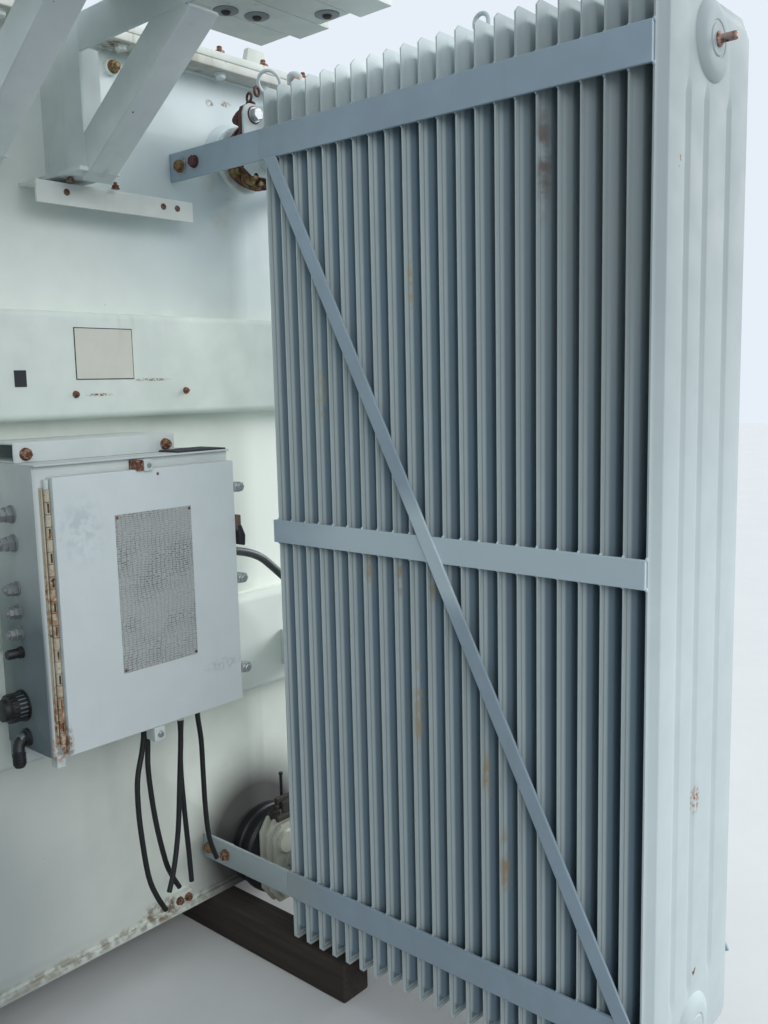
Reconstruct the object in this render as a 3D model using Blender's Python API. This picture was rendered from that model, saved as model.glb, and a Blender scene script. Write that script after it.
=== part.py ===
"""Oil-filled power transformer with four plate radiator banks, for Blender 4.5.

Units are metres, +Z is up and the ground is z = 0. The tank's long side runs
along X and the front wall faces -Y. Every sub-part is one closed body. Pieces
that touch are held apart by FIT so that no two bodies overlap.
"""

import math

import bmesh
import bpy
from mathutils import Matrix, Vector

# Fit between pieces that touch.
FIT = 0.0003

# Tank.
TANK_HALF_X = 1.300
TANK_HALF_Y = 0.550
TIMBER_H = 0.100
BASE_T = 0.018
BASE_OUT = 0.012
TANK_Z0 = TIMBER_H + FIT + BASE_T + FIT
RIM_Z0 = 2.302
RIM_T = 0.022
RIM_OUT = 0.065
COVER_T = 0.020
COVER_Z0 = RIM_Z0 + RIM_T + FIT
COVER_Z1 = COVER_Z0 + COVER_T
BAND_OUT = 0.060
UPPER_BAND = (1.440, 1.683)
LOWER_BAND = (0.670, 0.935)
WALL_Y = -TANK_HALF_Y
BAND_Y = WALL_Y - BAND_OUT
TIMBER_OUT = 0.517
TIMBER_HALF_Y = TANK_HALF_Y + TIMBER_OUT
TIMBER_W = 0.088
TIMBER_INSET = 0.505
TIMBER_X = (TIMBER_INSET - TANK_HALF_X, 0.0, TANK_HALF_X - TIMBER_INSET)

# Radiator bank, drawn for the front right corner and mirrored from there.
BANK_INSET = 0.349
PANEL_W = 0.400
BANK_XC = TANK_HALF_X - BANK_INSET
BANK_X0 = BANK_XC - PANEL_W / 2
BANK_X1 = BANK_XC + PANEL_W / 2
BANK_OUT = 0.347
PANEL_Y0 = WALL_Y - BANK_OUT
PANEL_PITCH = 0.045
PANEL_COUNT = 22
PANEL_T = 0.012
PANEL_Z0 = 0.106
PANEL_Z1 = 2.177
PANEL_CUT = 0.030
PANEL_YN = PANEL_Y0 - PANEL_PITCH * (PANEL_COUNT - 1)
HEADER_R = 0.038
HEADER_SIDES = 10
HEADER_Z = (0.190, 2.095)
BOSS_R = 0.055
BOSS_OUT = 0.018
PIN_R = 0.008
PIN_OUT = 0.060
HOOK_Y = PANEL_Y0 - 0.461
HOOK_W = 0.046
HOOK_H = 0.0955
HOOK_T = 0.014

# Straps that tie the panels, and the diagonal that crosses them.
STRAP_T = 0.008
WELD_W = 0.008
TOP_STRAP = (2.017, 2.085)
MID_STRAP = (1.133, 1.187)
LOW_STRAP = (0.225, 0.291)
DIAGONAL = ((PANEL_Y0 - 0.011, 2.045), (PANEL_Y0 - 0.939, 0.245))
DIAGONAL_W = 0.032
DIAGONAL_T = 0.007
STRAP_LAP = 0.012
STRAP_Y = PANEL_Y0 + STRAP_LAP
LUG_OUT = 0.115
LUG_T = 0.008

# Pipe joint between tank and header.
NECK_OUT = 0.030
FLANGE_T = 0.018
FLANGE_R = 0.085
VALVE_L = 0.080
VALVE_R = 0.070
VALVE_Y0 = WALL_Y - NECK_OUT - FLANGE_T
VALVE_Y1 = VALVE_Y0 - VALVE_L
STEM_R = 0.011
STEM_H = 0.215
STEM_CAP_R = 0.020

# Control cabinet on the front wall.
CAB_X0 = 0.184
CAB_X1 = 0.688
CAB_Z0 = 0.742
CAB_Z1 = 1.358
CAB_DEPTH = 0.1767
CAB_BACK = BAND_Y - FIT
CAB_FRONT = CAB_BACK - CAB_DEPTH
CAB_WALL = 0.004
CAB_MOUTH_X = (0.222, 0.668)
CAB_MOUTH_Z = (0.772, 1.314)
DOOR_X0 = 0.214
DOOR_X1 = 0.686
DOOR_Z0 = 0.744
DOOR_Z1 = 1.331
DOOR_GAP = 0.005
DOOR_T = 0.020
DOOR_BACK = CAB_FRONT - DOOR_GAP
DOOR_FRONT = DOOR_BACK - DOOR_T
DOOR_SKIN = 0.003
HINGE_X = 0.2075
HINGE_Y = CAB_FRONT - 0.010
HINGE_R = 0.0055
KNUCKLE_H = 0.020
RAIL_X = (0.186, 0.590)
TOP_RAIL_Z = (CAB_Z1 + FIT, 1.400)
LOW_RAIL_Z = (0.700, CAB_Z0 - FIT)
RAIL_WALL = 0.004
TOP_RAIL_OUT = 0.166
LOW_RAIL_OUT = 0.054
SIDE_GLAND_Y = CAB_BACK - 0.0847
SIDE_GLANDS = ((1.252, 0.013), (1.191, 0.013), (1.094, 0.011), (1.044, 0.010),
               (0.997, 0.010), (0.956, 0.009), (0.768, 0.012))
SIDE_PLUG_Z = 0.837
SIDE_PLUG_R = 0.030
SIDE_GLAND_OUT = 0.022
SIDE_PLUG_Y = SIDE_GLAND_Y + 0.010
GLAND_R = 0.011

# Cables. Route points are (x, y, z) along the middle of each one, with y from CABLE_Y.
CABLE_Y = CAB_BACK - 0.0897
TAIL_R = 0.0065
TAILS = {
    "cable_tail_1": ((0.459, -0.016, 0.7067), (0.459, -0.016, 0.690), (0.452, -0.016, 0.655),
                     (0.436, -0.016, 0.595), (0.433, -0.016, 0.530), (0.437, -0.016, 0.455),
                     (0.450, -0.016, 0.345), (0.470, -0.016, 0.285), (0.494, -0.016, 0.238)),
    "cable_tail_2": ((0.487, 0.010, 0.7067), (0.487, 0.010, 0.660), (0.484, 0.010, 0.590),
                     (0.496, 0.010, 0.465), (0.518, 0.010, 0.350), (0.536, 0.010, 0.300),
                     (0.556, 0.010, 0.262)),
    "cable_tail_3": ((0.558, -0.025, 0.7067), (0.558, -0.025, 0.660), (0.549, -0.025, 0.560),
                     (0.536, -0.025, 0.430), (0.517, -0.025, 0.335), (0.500, -0.025, 0.285)),
    "cable_tail_4": ((0.588, 0.010, 0.7067), (0.588, 0.010, 0.690), (0.583, 0.010, 0.640),
                     (0.579, 0.010, 0.560), (0.584, 0.010, 0.440), (0.590, 0.010, 0.345),
                     (0.594, 0.010, 0.262)),
    "cable_tail_5": ((0.622, -0.012, 0.7067), (0.622, -0.012, 0.690), (0.629, -0.012, 0.630),
                     (0.630, -0.012, 0.560), (0.632, -0.012, 0.445), (0.640, -0.012, 0.365),
                     (0.660, -0.012, 0.305)),
}
CONDUIT_R = 0.011
SOCKET_R = 0.015
SOCKET_H = 0.040
CONDUIT = ((0.7113, 0.0, 1.092), (0.745, 0.0, 1.092), (0.785, 0.0, 1.086),
           (0.830, 0.0, 1.073), (0.866, 0.0, 1.055), (0.900, 0.0, 1.028),
           (0.936, 0.0, 0.997), (0.972, 0.0, 0.967), (1.008, 0.0, 0.937),
           (1.024, 0.0, 0.920), (1.036, 0.0, 0.900), (1.043, 0.0, 0.878),
           (1.043, 0.0, 0.8603))
JUNCTION_W = 0.080
JUNCTION_H = 0.100
JUNCTION_DEPTH = 0.1297

# Brackets and platform over the right part of the front.
BRACKET_X = (0.140, 0.400)
BRACKET_T = 0.008
POST_OUT = 0.160
POST_Z0 = 1.978
FLANGE_W = 0.048
ARM_Z = (2.216, 2.290)
ARM_OUT = 0.650
LEG_W = 0.072
BRACE_OUT = (0.130, 0.510)
BRACE_Z = (1.986, 2.236)
BRACE = ((WALL_Y - BRACE_OUT[0], BRACE_Z[0]), (WALL_Y - BRACE_OUT[1], BRACE_Z[1]))
FOOT_W = 0.100
FOOT_T = 0.008
FOOT_SIDE = 0.020
FOOT_LAP = 0.010
ARM_LAP = 0.020
JOIN = 0.001
PLATFORM_X = (-0.060, 0.840)
PLATFORM_OUT = (0.660, 0.285)
PLATFORM_T = 0.012
PLANK_H = 0.060
PLANKS = 3
SHELF_X = (0.332, 0.752)
SHELF_Z = (1.912, 1.9595)
SHELF_T = 0.006
SHELF_OUT = 0.072

# Cover fittings.
HV_X = (-0.700, 0.0, 0.700)
HV_Y = 0.180
HV_H = 0.620
HV_R = 0.085
LV_X = (-0.540, -0.180, 0.180, 0.540)
LV_Y = -0.250
LV_H = 0.300
LV_R = 0.050
LIFT_X = TANK_HALF_X - 0.150
LIFT_Y = TANK_HALF_Y - 0.120
LIFT_H = 0.110
LIFT_W = 0.120
LIFT_T = 0.020

WHITE = (0.62, 0.66, 0.64)
GREY = (0.45, 0.50, 0.52)
DARK = (0.03, 0.03, 0.035)
TIMBER = (0.035, 0.022, 0.015)
PORCELAIN = (0.30, 0.13, 0.07)


def clear_scene():
    """Remove every object of the start-up file."""
    for obj in list(bpy.data.objects):
        bpy.data.objects.remove(obj, do_unlink=True)


def paint(name, colour, metallic=0.0, roughness=0.5):
    """Return a new Principled material."""
    material = bpy.data.materials.new(name)
    material.use_nodes = True
    shader = material.node_tree.nodes["Principled BSDF"]
    shader.inputs["Base Color"].default_value = (*colour, 1.0)
    shader.inputs["Metallic"].default_value = metallic
    shader.inputs["Roughness"].default_value = roughness
    material.diffuse_color = (*colour, 1.0)
    return material


def box(low, high):
    """Return the vertices and faces of a box."""
    (x0, y0, z0), (x1, y1, z1) = low, high
    corners = [(x, y, z) for z in (z0, z1) for x, y in ((x0, y0), (x1, y0), (x1, y1), (x0, y1))]
    faces = [(3, 2, 1, 0), (4, 5, 6, 7), (0, 1, 5, 4), (1, 2, 6, 5), (2, 3, 7, 6), (3, 0, 4, 7)]
    return corners, faces


def prism(outline, axis, start, end):
    """Return a prism: a closed 2-D outline drawn along axis from start to end."""
    count = len(outline)
    corners = []
    for level in (start, end):
        for a, b in outline:
            point = {"x": (level, a, b), "y": (a, level, b), "z": (a, b, level)}[axis]
            corners.append(point)
    faces = [tuple(reversed(range(count))), tuple(range(count, 2 * count))]
    for i in range(count):
        j = (i + 1) % count
        faces.append((i, j, count + j, count + i))
    return corners, faces


def disc_outline(a, b, radius, sides):
    """Return a regular polygon's corners around (a, b)."""
    step = 2 * math.pi / sides
    return [(a + radius * math.cos(step * (i + 0.5)), b + radius * math.sin(step * (i + 0.5)))
            for i in range(sides)]


def rod(axis, centre, radius, start, end, sides=16):
    """Return a round bar along axis. centre is its place in the other two axes."""
    return prism(disc_outline(centre[0], centre[1], radius, sides), axis, start, end)


def turned(centre, profile, sides=16):
    """Return a solid of revolution about +Z from (radius, z) pairs, low to high."""
    corners = []
    for radius, z in profile:
        for i in range(sides):
            turn = 2 * math.pi * i / sides
            corners.append((centre[0] + radius * math.cos(turn),
                            centre[1] + radius * math.sin(turn), z))
    faces = [tuple(reversed(range(sides)))]
    for ring in range(len(profile) - 1):
        for i in range(sides):
            j = (i + 1) % sides
            low = ring * sides
            faces.append((low + i, low + j, low + sides + j, low + sides + i))
    top = (len(profile) - 1) * sides
    faces.append(tuple(range(top, top + sides)))
    return corners, faces


def bar(axis, start, end, width, low, high):
    """Return a flat bar in the plane across axis, from start to end, of one width."""
    a = Vector(start)
    b = Vector(end)
    along = (b - a).normalized()
    side = Vector((-along.y, along.x)) * width / 2
    outline = [tuple(a + side), tuple(a - side), tuple(b - side), tuple(b + side)]
    return prism(outline, axis, low, high)


def new_object(name, pieces, material=None):
    """Make one mesh object from shapes that don't touch each other."""
    corners = []
    faces = []
    for piece_corners, piece_faces in pieces:
        base = len(corners)
        corners.extend(piece_corners)
        faces.extend(tuple(base + i for i in face) for face in piece_faces)
    mesh = bpy.data.meshes.new(name)
    mesh.from_pydata(corners, [], faces)
    shell = bmesh.new()
    shell.from_mesh(mesh)
    bmesh.ops.recalc_face_normals(shell, faces=shell.faces)
    shell.to_mesh(mesh)
    shell.free()
    obj = bpy.data.objects.new(name, mesh)
    bpy.context.collection.objects.link(obj)
    if material is not None:
        mesh.materials.append(material)
    return obj


def combine(obj, pieces, operation="UNION"):
    """Add shapes to an object, or cut them out of it, and keep it one mesh."""
    cutter = new_object(obj.name + "_tool", pieces)
    for slot in obj.data.materials:
        cutter.data.materials.append(slot)
    modifier = obj.modifiers.new("combine", "BOOLEAN")
    modifier.operation = operation
    modifier.solver = "EXACT"
    modifier.object = cutter
    graph = bpy.context.evaluated_depsgraph_get()
    mesh = bpy.data.meshes.new_from_object(obj.evaluated_get(graph))
    obj.modifiers.clear()
    obj.data = mesh
    bpy.data.objects.remove(cutter, do_unlink=True)
    return obj


def weld_frame(obj, frame):
    """Join a finished frame to an object and remove it."""
    modifier = obj.modifiers.new("weld", "BOOLEAN")
    modifier.operation = "UNION"
    modifier.solver = "EXACT"
    modifier.object = frame
    graph = bpy.context.evaluated_depsgraph_get()
    mesh = bpy.data.meshes.new_from_object(obj.evaluated_get(graph))
    obj.modifiers.clear()
    obj.data = mesh
    bpy.data.objects.remove(frame, do_unlink=True)


def mirrored(obj, name, flip_x, flip_y, material):
    """Copy an object to another corner of the tank."""
    mesh = obj.data.copy()
    mesh.transform(Matrix.Diagonal((-1 if flip_x else 1, -1 if flip_y else 1, 1, 1)))
    if flip_x != flip_y:
        mesh.flip_normals()
    copy = bpy.data.objects.new(name, mesh)
    bpy.context.collection.objects.link(copy)
    mesh.materials.clear()
    mesh.materials.append(material)
    return copy


def corner_shapes(make):
    """Repeat a list of shapes at all four corners of the tank."""
    shapes = []
    for sx, sy in ((1, 1), (-1, 1), (1, -1), (-1, -1)):
        for corners, faces in make():
            moved = [(sx * x, sy * y, z) for x, y, z in corners]
            shapes.append((moved, faces))
    return shapes


def pipe_necks():
    """Return the tank's short pipe necks for one bank."""
    return [rod("y", (BANK_XC, z), HEADER_R, WALL_Y - NECK_OUT - 0.004, WALL_Y + 0.010,
                HEADER_SIDES) for z in HEADER_Z]


def neck_flanges():
    """Return the flanges on the ends of one bank's necks."""
    return [rod("y", (BANK_XC, z), FLANGE_R, VALVE_Y0, VALVE_Y0 + FLANGE_T, 20) for z in HEADER_Z]


def make_tank():
    """Build the oil tank with its pipe necks and their flanges."""
    body = new_object("tank", [box((-TANK_HALF_X, -TANK_HALF_Y, TANK_Z0),
                                   (TANK_HALF_X, TANK_HALF_Y, RIM_Z0 - FIT))],
                      paint("tank", WHITE))
    combine(body, corner_shapes(pipe_necks))
    combine(body, corner_shapes(neck_flanges))
    return body


def make_base():
    """Build the base plate and the timbers it lies on."""
    new_object("base_plate", [box((-TANK_HALF_X - BASE_OUT, -TANK_HALF_Y - BASE_OUT,
                                   TIMBER_H + FIT),
                                  (TANK_HALF_X + BASE_OUT, TANK_HALF_Y + BASE_OUT,
                                   TIMBER_H + FIT + BASE_T))],
               paint("base_plate", GREY))
    for i, x in enumerate(TIMBER_X, start=1):
        new_object(f"timber_{i}", [box((x - TIMBER_W / 2, -TIMBER_HALF_Y, 0.0),
                                       (x + TIMBER_W / 2, TIMBER_HALF_Y, TIMBER_H))],
                   paint(f"timber_{i}", TIMBER, roughness=0.9))


def make_ring(name, inner_x, inner_y, out, z0, z1):
    """Build a flat ring that goes round the tank."""
    ring = new_object(name, [box((-inner_x - out, -inner_y - out, z0),
                                 (inner_x + out, inner_y + out, z1))],
                      paint(name, WHITE))
    return combine(ring, [box((-inner_x, -inner_y, z0 - 0.01), (inner_x, inner_y, z1 + 0.01))],
                   "DIFFERENCE")


def make_bands_and_cover():
    """Build the two box stiffeners, the bolted rim and the cover."""
    for name, (z0, z1) in (("upper_band", UPPER_BAND), ("lower_band", LOWER_BAND)):
        make_ring(name, TANK_HALF_X + FIT, TANK_HALF_Y + FIT, BAND_OUT - FIT, z0, z1)
    make_rim = box((-TANK_HALF_X - RIM_OUT, -TANK_HALF_Y - RIM_OUT, RIM_Z0),
                   (TANK_HALF_X + RIM_OUT, TANK_HALF_Y + RIM_OUT, RIM_Z0 + RIM_T))
    new_object("rim", [make_rim], paint("rim", WHITE))
    cover = new_object("cover", [box((-TANK_HALF_X - RIM_OUT, -TANK_HALF_Y - RIM_OUT, COVER_Z0),
                                     (TANK_HALF_X + RIM_OUT, TANK_HALF_Y + RIM_OUT, COVER_Z1))],
                       paint("cover", WHITE))
    eyes = []
    for sx in (-1, 1):
        for sy in (-1, 1):
            x = sx * LIFT_X
            y = sy * LIFT_Y
            foot = COVER_Z1 - COVER_T / 5
            outline = [(x - LIFT_W / 2, foot), (x + LIFT_W / 2, foot),
                       (x + LIFT_W / 4, COVER_Z1 + LIFT_H), (x - LIFT_W / 4, COVER_Z1 + LIFT_H)]
            eyes.append(prism(outline, "y", y - LIFT_T / 2, y + LIFT_T / 2))
    combine(cover, eyes)


def route(points):
    """Return a cable's route with its y counted from the cable plane."""
    return [(x, CABLE_Y + y, z) for x, y, z in points]


def make_junction():
    """Build the junction box that the conduit runs down to."""
    x, y, z = route(CONDUIT)[-1]
    top = z - FIT - SOCKET_H
    block = new_object("junction_box", [box((x - JUNCTION_W / 2, CAB_BACK - JUNCTION_DEPTH,
                                             top - JUNCTION_H), (x + JUNCTION_W / 2, CAB_BACK, top))],
                       paint("junction_box", GREY))
    combine(block, [rod("z", (x, y), SOCKET_R, top - JOIN, z - FIT, 12)])


def panel_outline():
    """Return one panel's outline in X and Z, with its corners cut."""
    c = PANEL_CUT
    return [(BANK_X0 + c, PANEL_Z0), (BANK_X1 - c, PANEL_Z0), (BANK_X1, PANEL_Z0 + c),
            (BANK_X1, PANEL_Z1 - c), (BANK_X1 - c, PANEL_Z1), (BANK_X0 + c, PANEL_Z1),
            (BANK_X0, PANEL_Z1 - c), (BANK_X0, PANEL_Z0 + c)]


def make_bank():
    """Build the front right radiator bank as one welded body."""
    panels = []
    for i in range(PANEL_COUNT):
        y = PANEL_Y0 - i * PANEL_PITCH
        panels.append(prism(panel_outline(), "y", y - PANEL_T / 2, y + PANEL_T / 2))
    bank = new_object("radiator_front_right", panels, paint("radiator_front_right", WHITE))
    combine(bank, [rod("y", (BANK_XC, z), HEADER_R, PANEL_YN - 0.010, PANEL_Y0 + 0.003,
                       HEADER_SIDES) for z in HEADER_Z])
    straps = []
    for z0, z1 in (TOP_STRAP, MID_STRAP, LOW_STRAP):
        for x in (BANK_X0 - STRAP_T - FIT, BANK_X1 + FIT):
            straps.append(box((x, PANEL_YN, z0), (x + STRAP_T, STRAP_Y, z1)))
    frame = new_object("straps", straps)
    diagonals = []
    for x in (BANK_X0 - STRAP_T - DIAGONAL_T + 0.003, BANK_X1 + STRAP_T - 0.003):
        diagonals.append(bar("x", DIAGONAL[0], DIAGONAL[1], DIAGONAL_W, x, x + DIAGONAL_T))
    combine(frame, diagonals)
    welds = []
    for z0, z1 in (TOP_STRAP, MID_STRAP, LOW_STRAP):
        for y in (PANEL_Y0, PANEL_YN):
            for x in (BANK_X0, BANK_X1):
                welds.append(box((x - 0.004, y - WELD_W / 2, z0 + 0.015),
                                 (x + 0.004, y + WELD_W / 2, z1 - 0.015)))
    combine(frame, welds)
    weld_frame(bank, frame)
    ends = []
    for z in HEADER_Z:
        face = PANEL_YN - PANEL_T / 2
        ends.append(rod("y", (BANK_XC, z), BOSS_R, face - BOSS_OUT, face + 0.004, 20))
    hook_base = PANEL_Z1 - 0.012
    side = HOOK_W / 2
    crown = HOOK_W / 5
    shoulder = PANEL_Z1 + HOOK_H * 0.7
    top = PANEL_Z1 + HOOK_H
    hook = [(HOOK_Y - side, hook_base), (HOOK_Y + side, hook_base), (HOOK_Y + side, shoulder),
            (HOOK_Y + crown, top), (HOOK_Y - crown, top), (HOOK_Y - side, shoulder)]
    ends.append(prism(hook, "x", BANK_XC - HOOK_T / 2, BANK_XC + HOOK_T / 2))
    combine(bank, ends)
    combine(bank, [rod("y", (BANK_XC, HEADER_Z[1]), PIN_R, PANEL_YN - PIN_OUT,
                       PANEL_YN - PANEL_T / 2 - BOSS_OUT + 0.004, 8)])
    return bank


def make_valve(name, z):
    """Build one valve between a neck flange and a header flange."""
    y0 = VALVE_Y1
    y1 = VALVE_Y0 - FIT
    middle = (y0 + y1) / 2
    valve = new_object(name, [rod("y", (BANK_XC, z), VALVE_R, y0, y1, 20)], paint(name, WHITE))
    combine(valve, [rod("z", (BANK_XC, middle), STEM_R, z + VALVE_R - 0.010, z + STEM_H - 0.040, 12)])
    combine(valve, [rod("z", (BANK_XC, middle), STEM_CAP_R, z + STEM_H - 0.045, z + STEM_H, 12)])
    combine(valve, [rod("y", (BANK_XC, z), FLANGE_R, y0 - FLANGE_T, y0 + 0.001, 20)])
    combine(valve, [rod("y", (BANK_XC, z), HEADER_R, PANEL_Y0 + PANEL_T / 2 + FIT,
                        y0 - FLANGE_T + 0.002, HEADER_SIDES)])
    return valve


def make_stay(name, x, inward, z0, z1):
    """Build one stay from a strap's end to the wall, with its end plate."""
    wall = WALL_Y - FIT
    stay = new_object(name, [box((x, STRAP_Y + FIT, z0), (x + STRAP_T, wall - 0.001, z1))],
                      paint(name, GREY))
    plate = x + STRAP_T - 0.001 if inward > 0 else x - LUG_T + 0.001
    return combine(stay, [box((plate, wall - LUG_OUT, z0 + 0.004),
                              (plate + LUG_T, wall, z1 - 0.004))])


def make_banks():
    """Build the four banks with their valves and stays."""
    bank = make_bank()
    low = make_valve("valve_low_front_right", HEADER_Z[0])
    top = make_valve("valve_top_front_right", HEADER_Z[1])
    stays = []
    for level, (z0, z1) in (("top", TOP_STRAP), ("low", LOW_STRAP)):
        stays.append((make_stay(f"stay_{level}_inner_front_right", BANK_X0 - STRAP_T - FIT, 1,
                                z0, z1), f"stay_{level}_inner"))
        stays.append((make_stay(f"stay_{level}_outer_front_right", BANK_X1 + FIT, -1, z0, z1),
                      f"stay_{level}_outer"))
    for side, flip_x, flip_y in (("front_left", True, False), ("back_right", False, True),
                                 ("back_left", True, True)):
        for source, kind in ((bank, "radiator"), (low, "valve_low"), (top, "valve_top"), *stays):
            name = f"{kind}_{side}"
            mirrored(source, name, flip_x, flip_y, paint(name, WHITE))


def hinge_knuckles():
    """Return the two fixed knuckles, each with a web back to the cabinet's front."""
    shapes = []
    for z0 in (DOOR_Z0 + 0.004, DOOR_Z1 - 0.004 - KNUCKLE_H):
        outline = [(HINGE_X + HINGE_R * math.cos(math.radians(a)),
                    HINGE_Y + HINGE_R * math.sin(math.radians(a))) for a in range(165, 376, 30)]
        outline += [(HINGE_X + 0.0040, CAB_FRONT + 0.002), (HINGE_X - 0.0040, CAB_FRONT + 0.002)]
        shapes.append(prism(outline, "z", z0, z0 + KNUCKLE_H))
    return shapes


def make_cabinet_body():
    """Build the hollow control cabinet with its glands."""
    body = new_object("cabinet_body", [box((CAB_X0, CAB_FRONT, CAB_Z0), (CAB_X1, CAB_BACK, CAB_Z1))],
                      paint("cabinet_body", GREY))
    w = CAB_WALL
    combine(body, [box((CAB_X0 + w, CAB_FRONT + w, CAB_Z0 + w),
                       (CAB_X1 - w, CAB_BACK - w, CAB_Z1 - w))], "DIFFERENCE")
    combine(body, [box((CAB_MOUTH_X[0], CAB_FRONT - 0.01, CAB_MOUTH_Z[0]),
                       (CAB_MOUTH_X[1], CAB_FRONT + w + 0.002, CAB_MOUTH_Z[1]))], "DIFFERENCE")
    glands = []
    for z, radius in SIDE_GLANDS:
        glands.append(rod("x", (SIDE_GLAND_Y, z), radius, CAB_X0 - SIDE_GLAND_OUT,
                          CAB_X0 + w / 2, 12))
    glands.append(rod("x", (SIDE_PLUG_Y, SIDE_PLUG_Z), SIDE_PLUG_R,
                      CAB_X0 - SIDE_GLAND_OUT, CAB_X0 + w / 2, 20))
    x, y, z = route(CONDUIT)[0]
    glands.append(rod("x", (y, z), SOCKET_R, CAB_X1 - w / 2, x - FIT, 12))
    for points in TAILS.values():
        x, y, z = route(points)[0]
        glands.append(rod("z", (x, y), GLAND_R, z + FIT, CAB_Z0 + w / 2, 12))
    combine(body, glands)
    combine(body, hinge_knuckles())
    return body


def make_cabinet_door():
    """Build the door as a shallow pan with its hinge barrel."""
    door = new_object("cabinet_door", [box((DOOR_X0, DOOR_FRONT, DOOR_Z0),
                                           (DOOR_X1, DOOR_BACK, DOOR_Z1))],
                      paint("cabinet_door", GREY))
    s = DOOR_SKIN
    combine(door, [box((DOOR_X0 + s, DOOR_FRONT + s, DOOR_Z0 + s),
                       (DOOR_X1 - s, DOOR_BACK + 0.01, DOOR_Z1 - s))], "DIFFERENCE")
    low = DOOR_Z0 + 0.004 + KNUCKLE_H + FIT
    high = DOOR_Z1 - 0.004 - KNUCKLE_H - FIT
    combine(door, [box((HINGE_X, HINGE_Y - 0.0015, low + 0.002),
                       (DOOR_X0 + s / 2, HINGE_Y + 0.0015, high - 0.002))])
    combine(door, [rod("z", (HINGE_X, HINGE_Y), HINGE_R, low, high, 12)])
    return door


def make_rail(name, z_range, y_front, y_back):
    """Build one open-ended rail that the cabinet hangs on."""
    z0, z1 = z_range
    rail = new_object(name, [box((RAIL_X[0], y_front, z0), (RAIL_X[1], y_back, z1))],
                      paint(name, GREY))
    w = RAIL_WALL
    combine(rail, [box((RAIL_X[0] - 0.01, y_front + w, z0 + w),
                       (RAIL_X[1] + 0.01, y_back - w, z1 - w))], "DIFFERENCE")
    return rail


def make_tube(name, points, radius, colour):
    """Build a cable as a bevelled curve along its route."""
    curve = bpy.data.curves.new(name, "CURVE")
    curve.dimensions = "3D"
    curve.bevel_depth = radius
    curve.bevel_resolution = 2
    curve.use_fill_caps = True
    curve.render_resolution_u = 0
    spline = curve.splines.new("POLY")
    spline.points.add(len(points) - 1)
    for point, place in zip(spline.points, points):
        point.co = (*place, 1.0)
    obj = bpy.data.objects.new(name, curve)
    bpy.context.collection.objects.link(obj)
    curve.materials.append(paint(name, colour, roughness=0.7))
    return obj


def make_cabinet():
    """Build the cabinet, its rails, the conduit and the cable tails."""
    make_cabinet_body()
    make_cabinet_door()
    make_rail("top_rail", TOP_RAIL_Z, WALL_Y - TOP_RAIL_OUT, WALL_Y - FIT)
    make_rail("low_rail", LOW_RAIL_Z, BAND_Y - LOW_RAIL_OUT, CAB_BACK)
    make_tube("conduit", route(CONDUIT), CONDUIT_R, GREY)
    for name, points in TAILS.items():
        make_tube(name, route(points), TAIL_R, DARK)


def make_bracket(name, x):
    """Build one triangular bracket: post, arm and brace, all of angle section."""
    wall = WALL_Y - FIT
    t = BRACKET_T
    out = wall - POST_OUT
    reach = wall - ARM_OUT
    bracket = new_object(name, [box((x, out, POST_Z0), (x + t, wall, ARM_Z[1] - JOIN))],
                         paint(name, WHITE))
    combine(bracket, [box((x + JOIN, out, POST_Z0 + JOIN),
                          (x + FLANGE_W, out + t, ARM_Z[0] + FOOT_LAP))])
    combine(bracket, [box((x + JOIN / 2, reach, ARM_Z[0]),
                          (x + t - JOIN / 2, out + ARM_LAP, ARM_Z[1]))])
    combine(bracket, [box((x + JOIN, reach + JOIN, ARM_Z[1] - t - JOIN),
                          (x + LEG_W, out + ARM_LAP + JOIN, ARM_Z[1] - JOIN / 2.5))])
    combine(bracket, [bar("x", BRACE[0], BRACE[1], LEG_W, x + JOIN, x + t - JOIN)])
    slope = (Vector(BRACE[1]) - Vector(BRACE[0])).normalized()
    drop = Vector((slope.y, -slope.x)) * (LEG_W / 2 - t / 2 - JOIN / 2)
    if drop.y > 0:
        drop = -drop
    start = Vector(BRACE[0]) + drop - slope * JOIN * 4
    end = Vector(BRACE[1]) + drop + slope * JOIN * 6
    combine(bracket, [bar("x", start, end, t, x + JOIN * 1.5, x + LEG_W)])
    combine(bracket, [box((x - FOOT_SIDE, out - FOOT_LAP, POST_Z0 - FOOT_T),
                          (x + FOOT_W - FOOT_SIDE, wall, POST_Z0 + JOIN / 2))])
    return bracket


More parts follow.
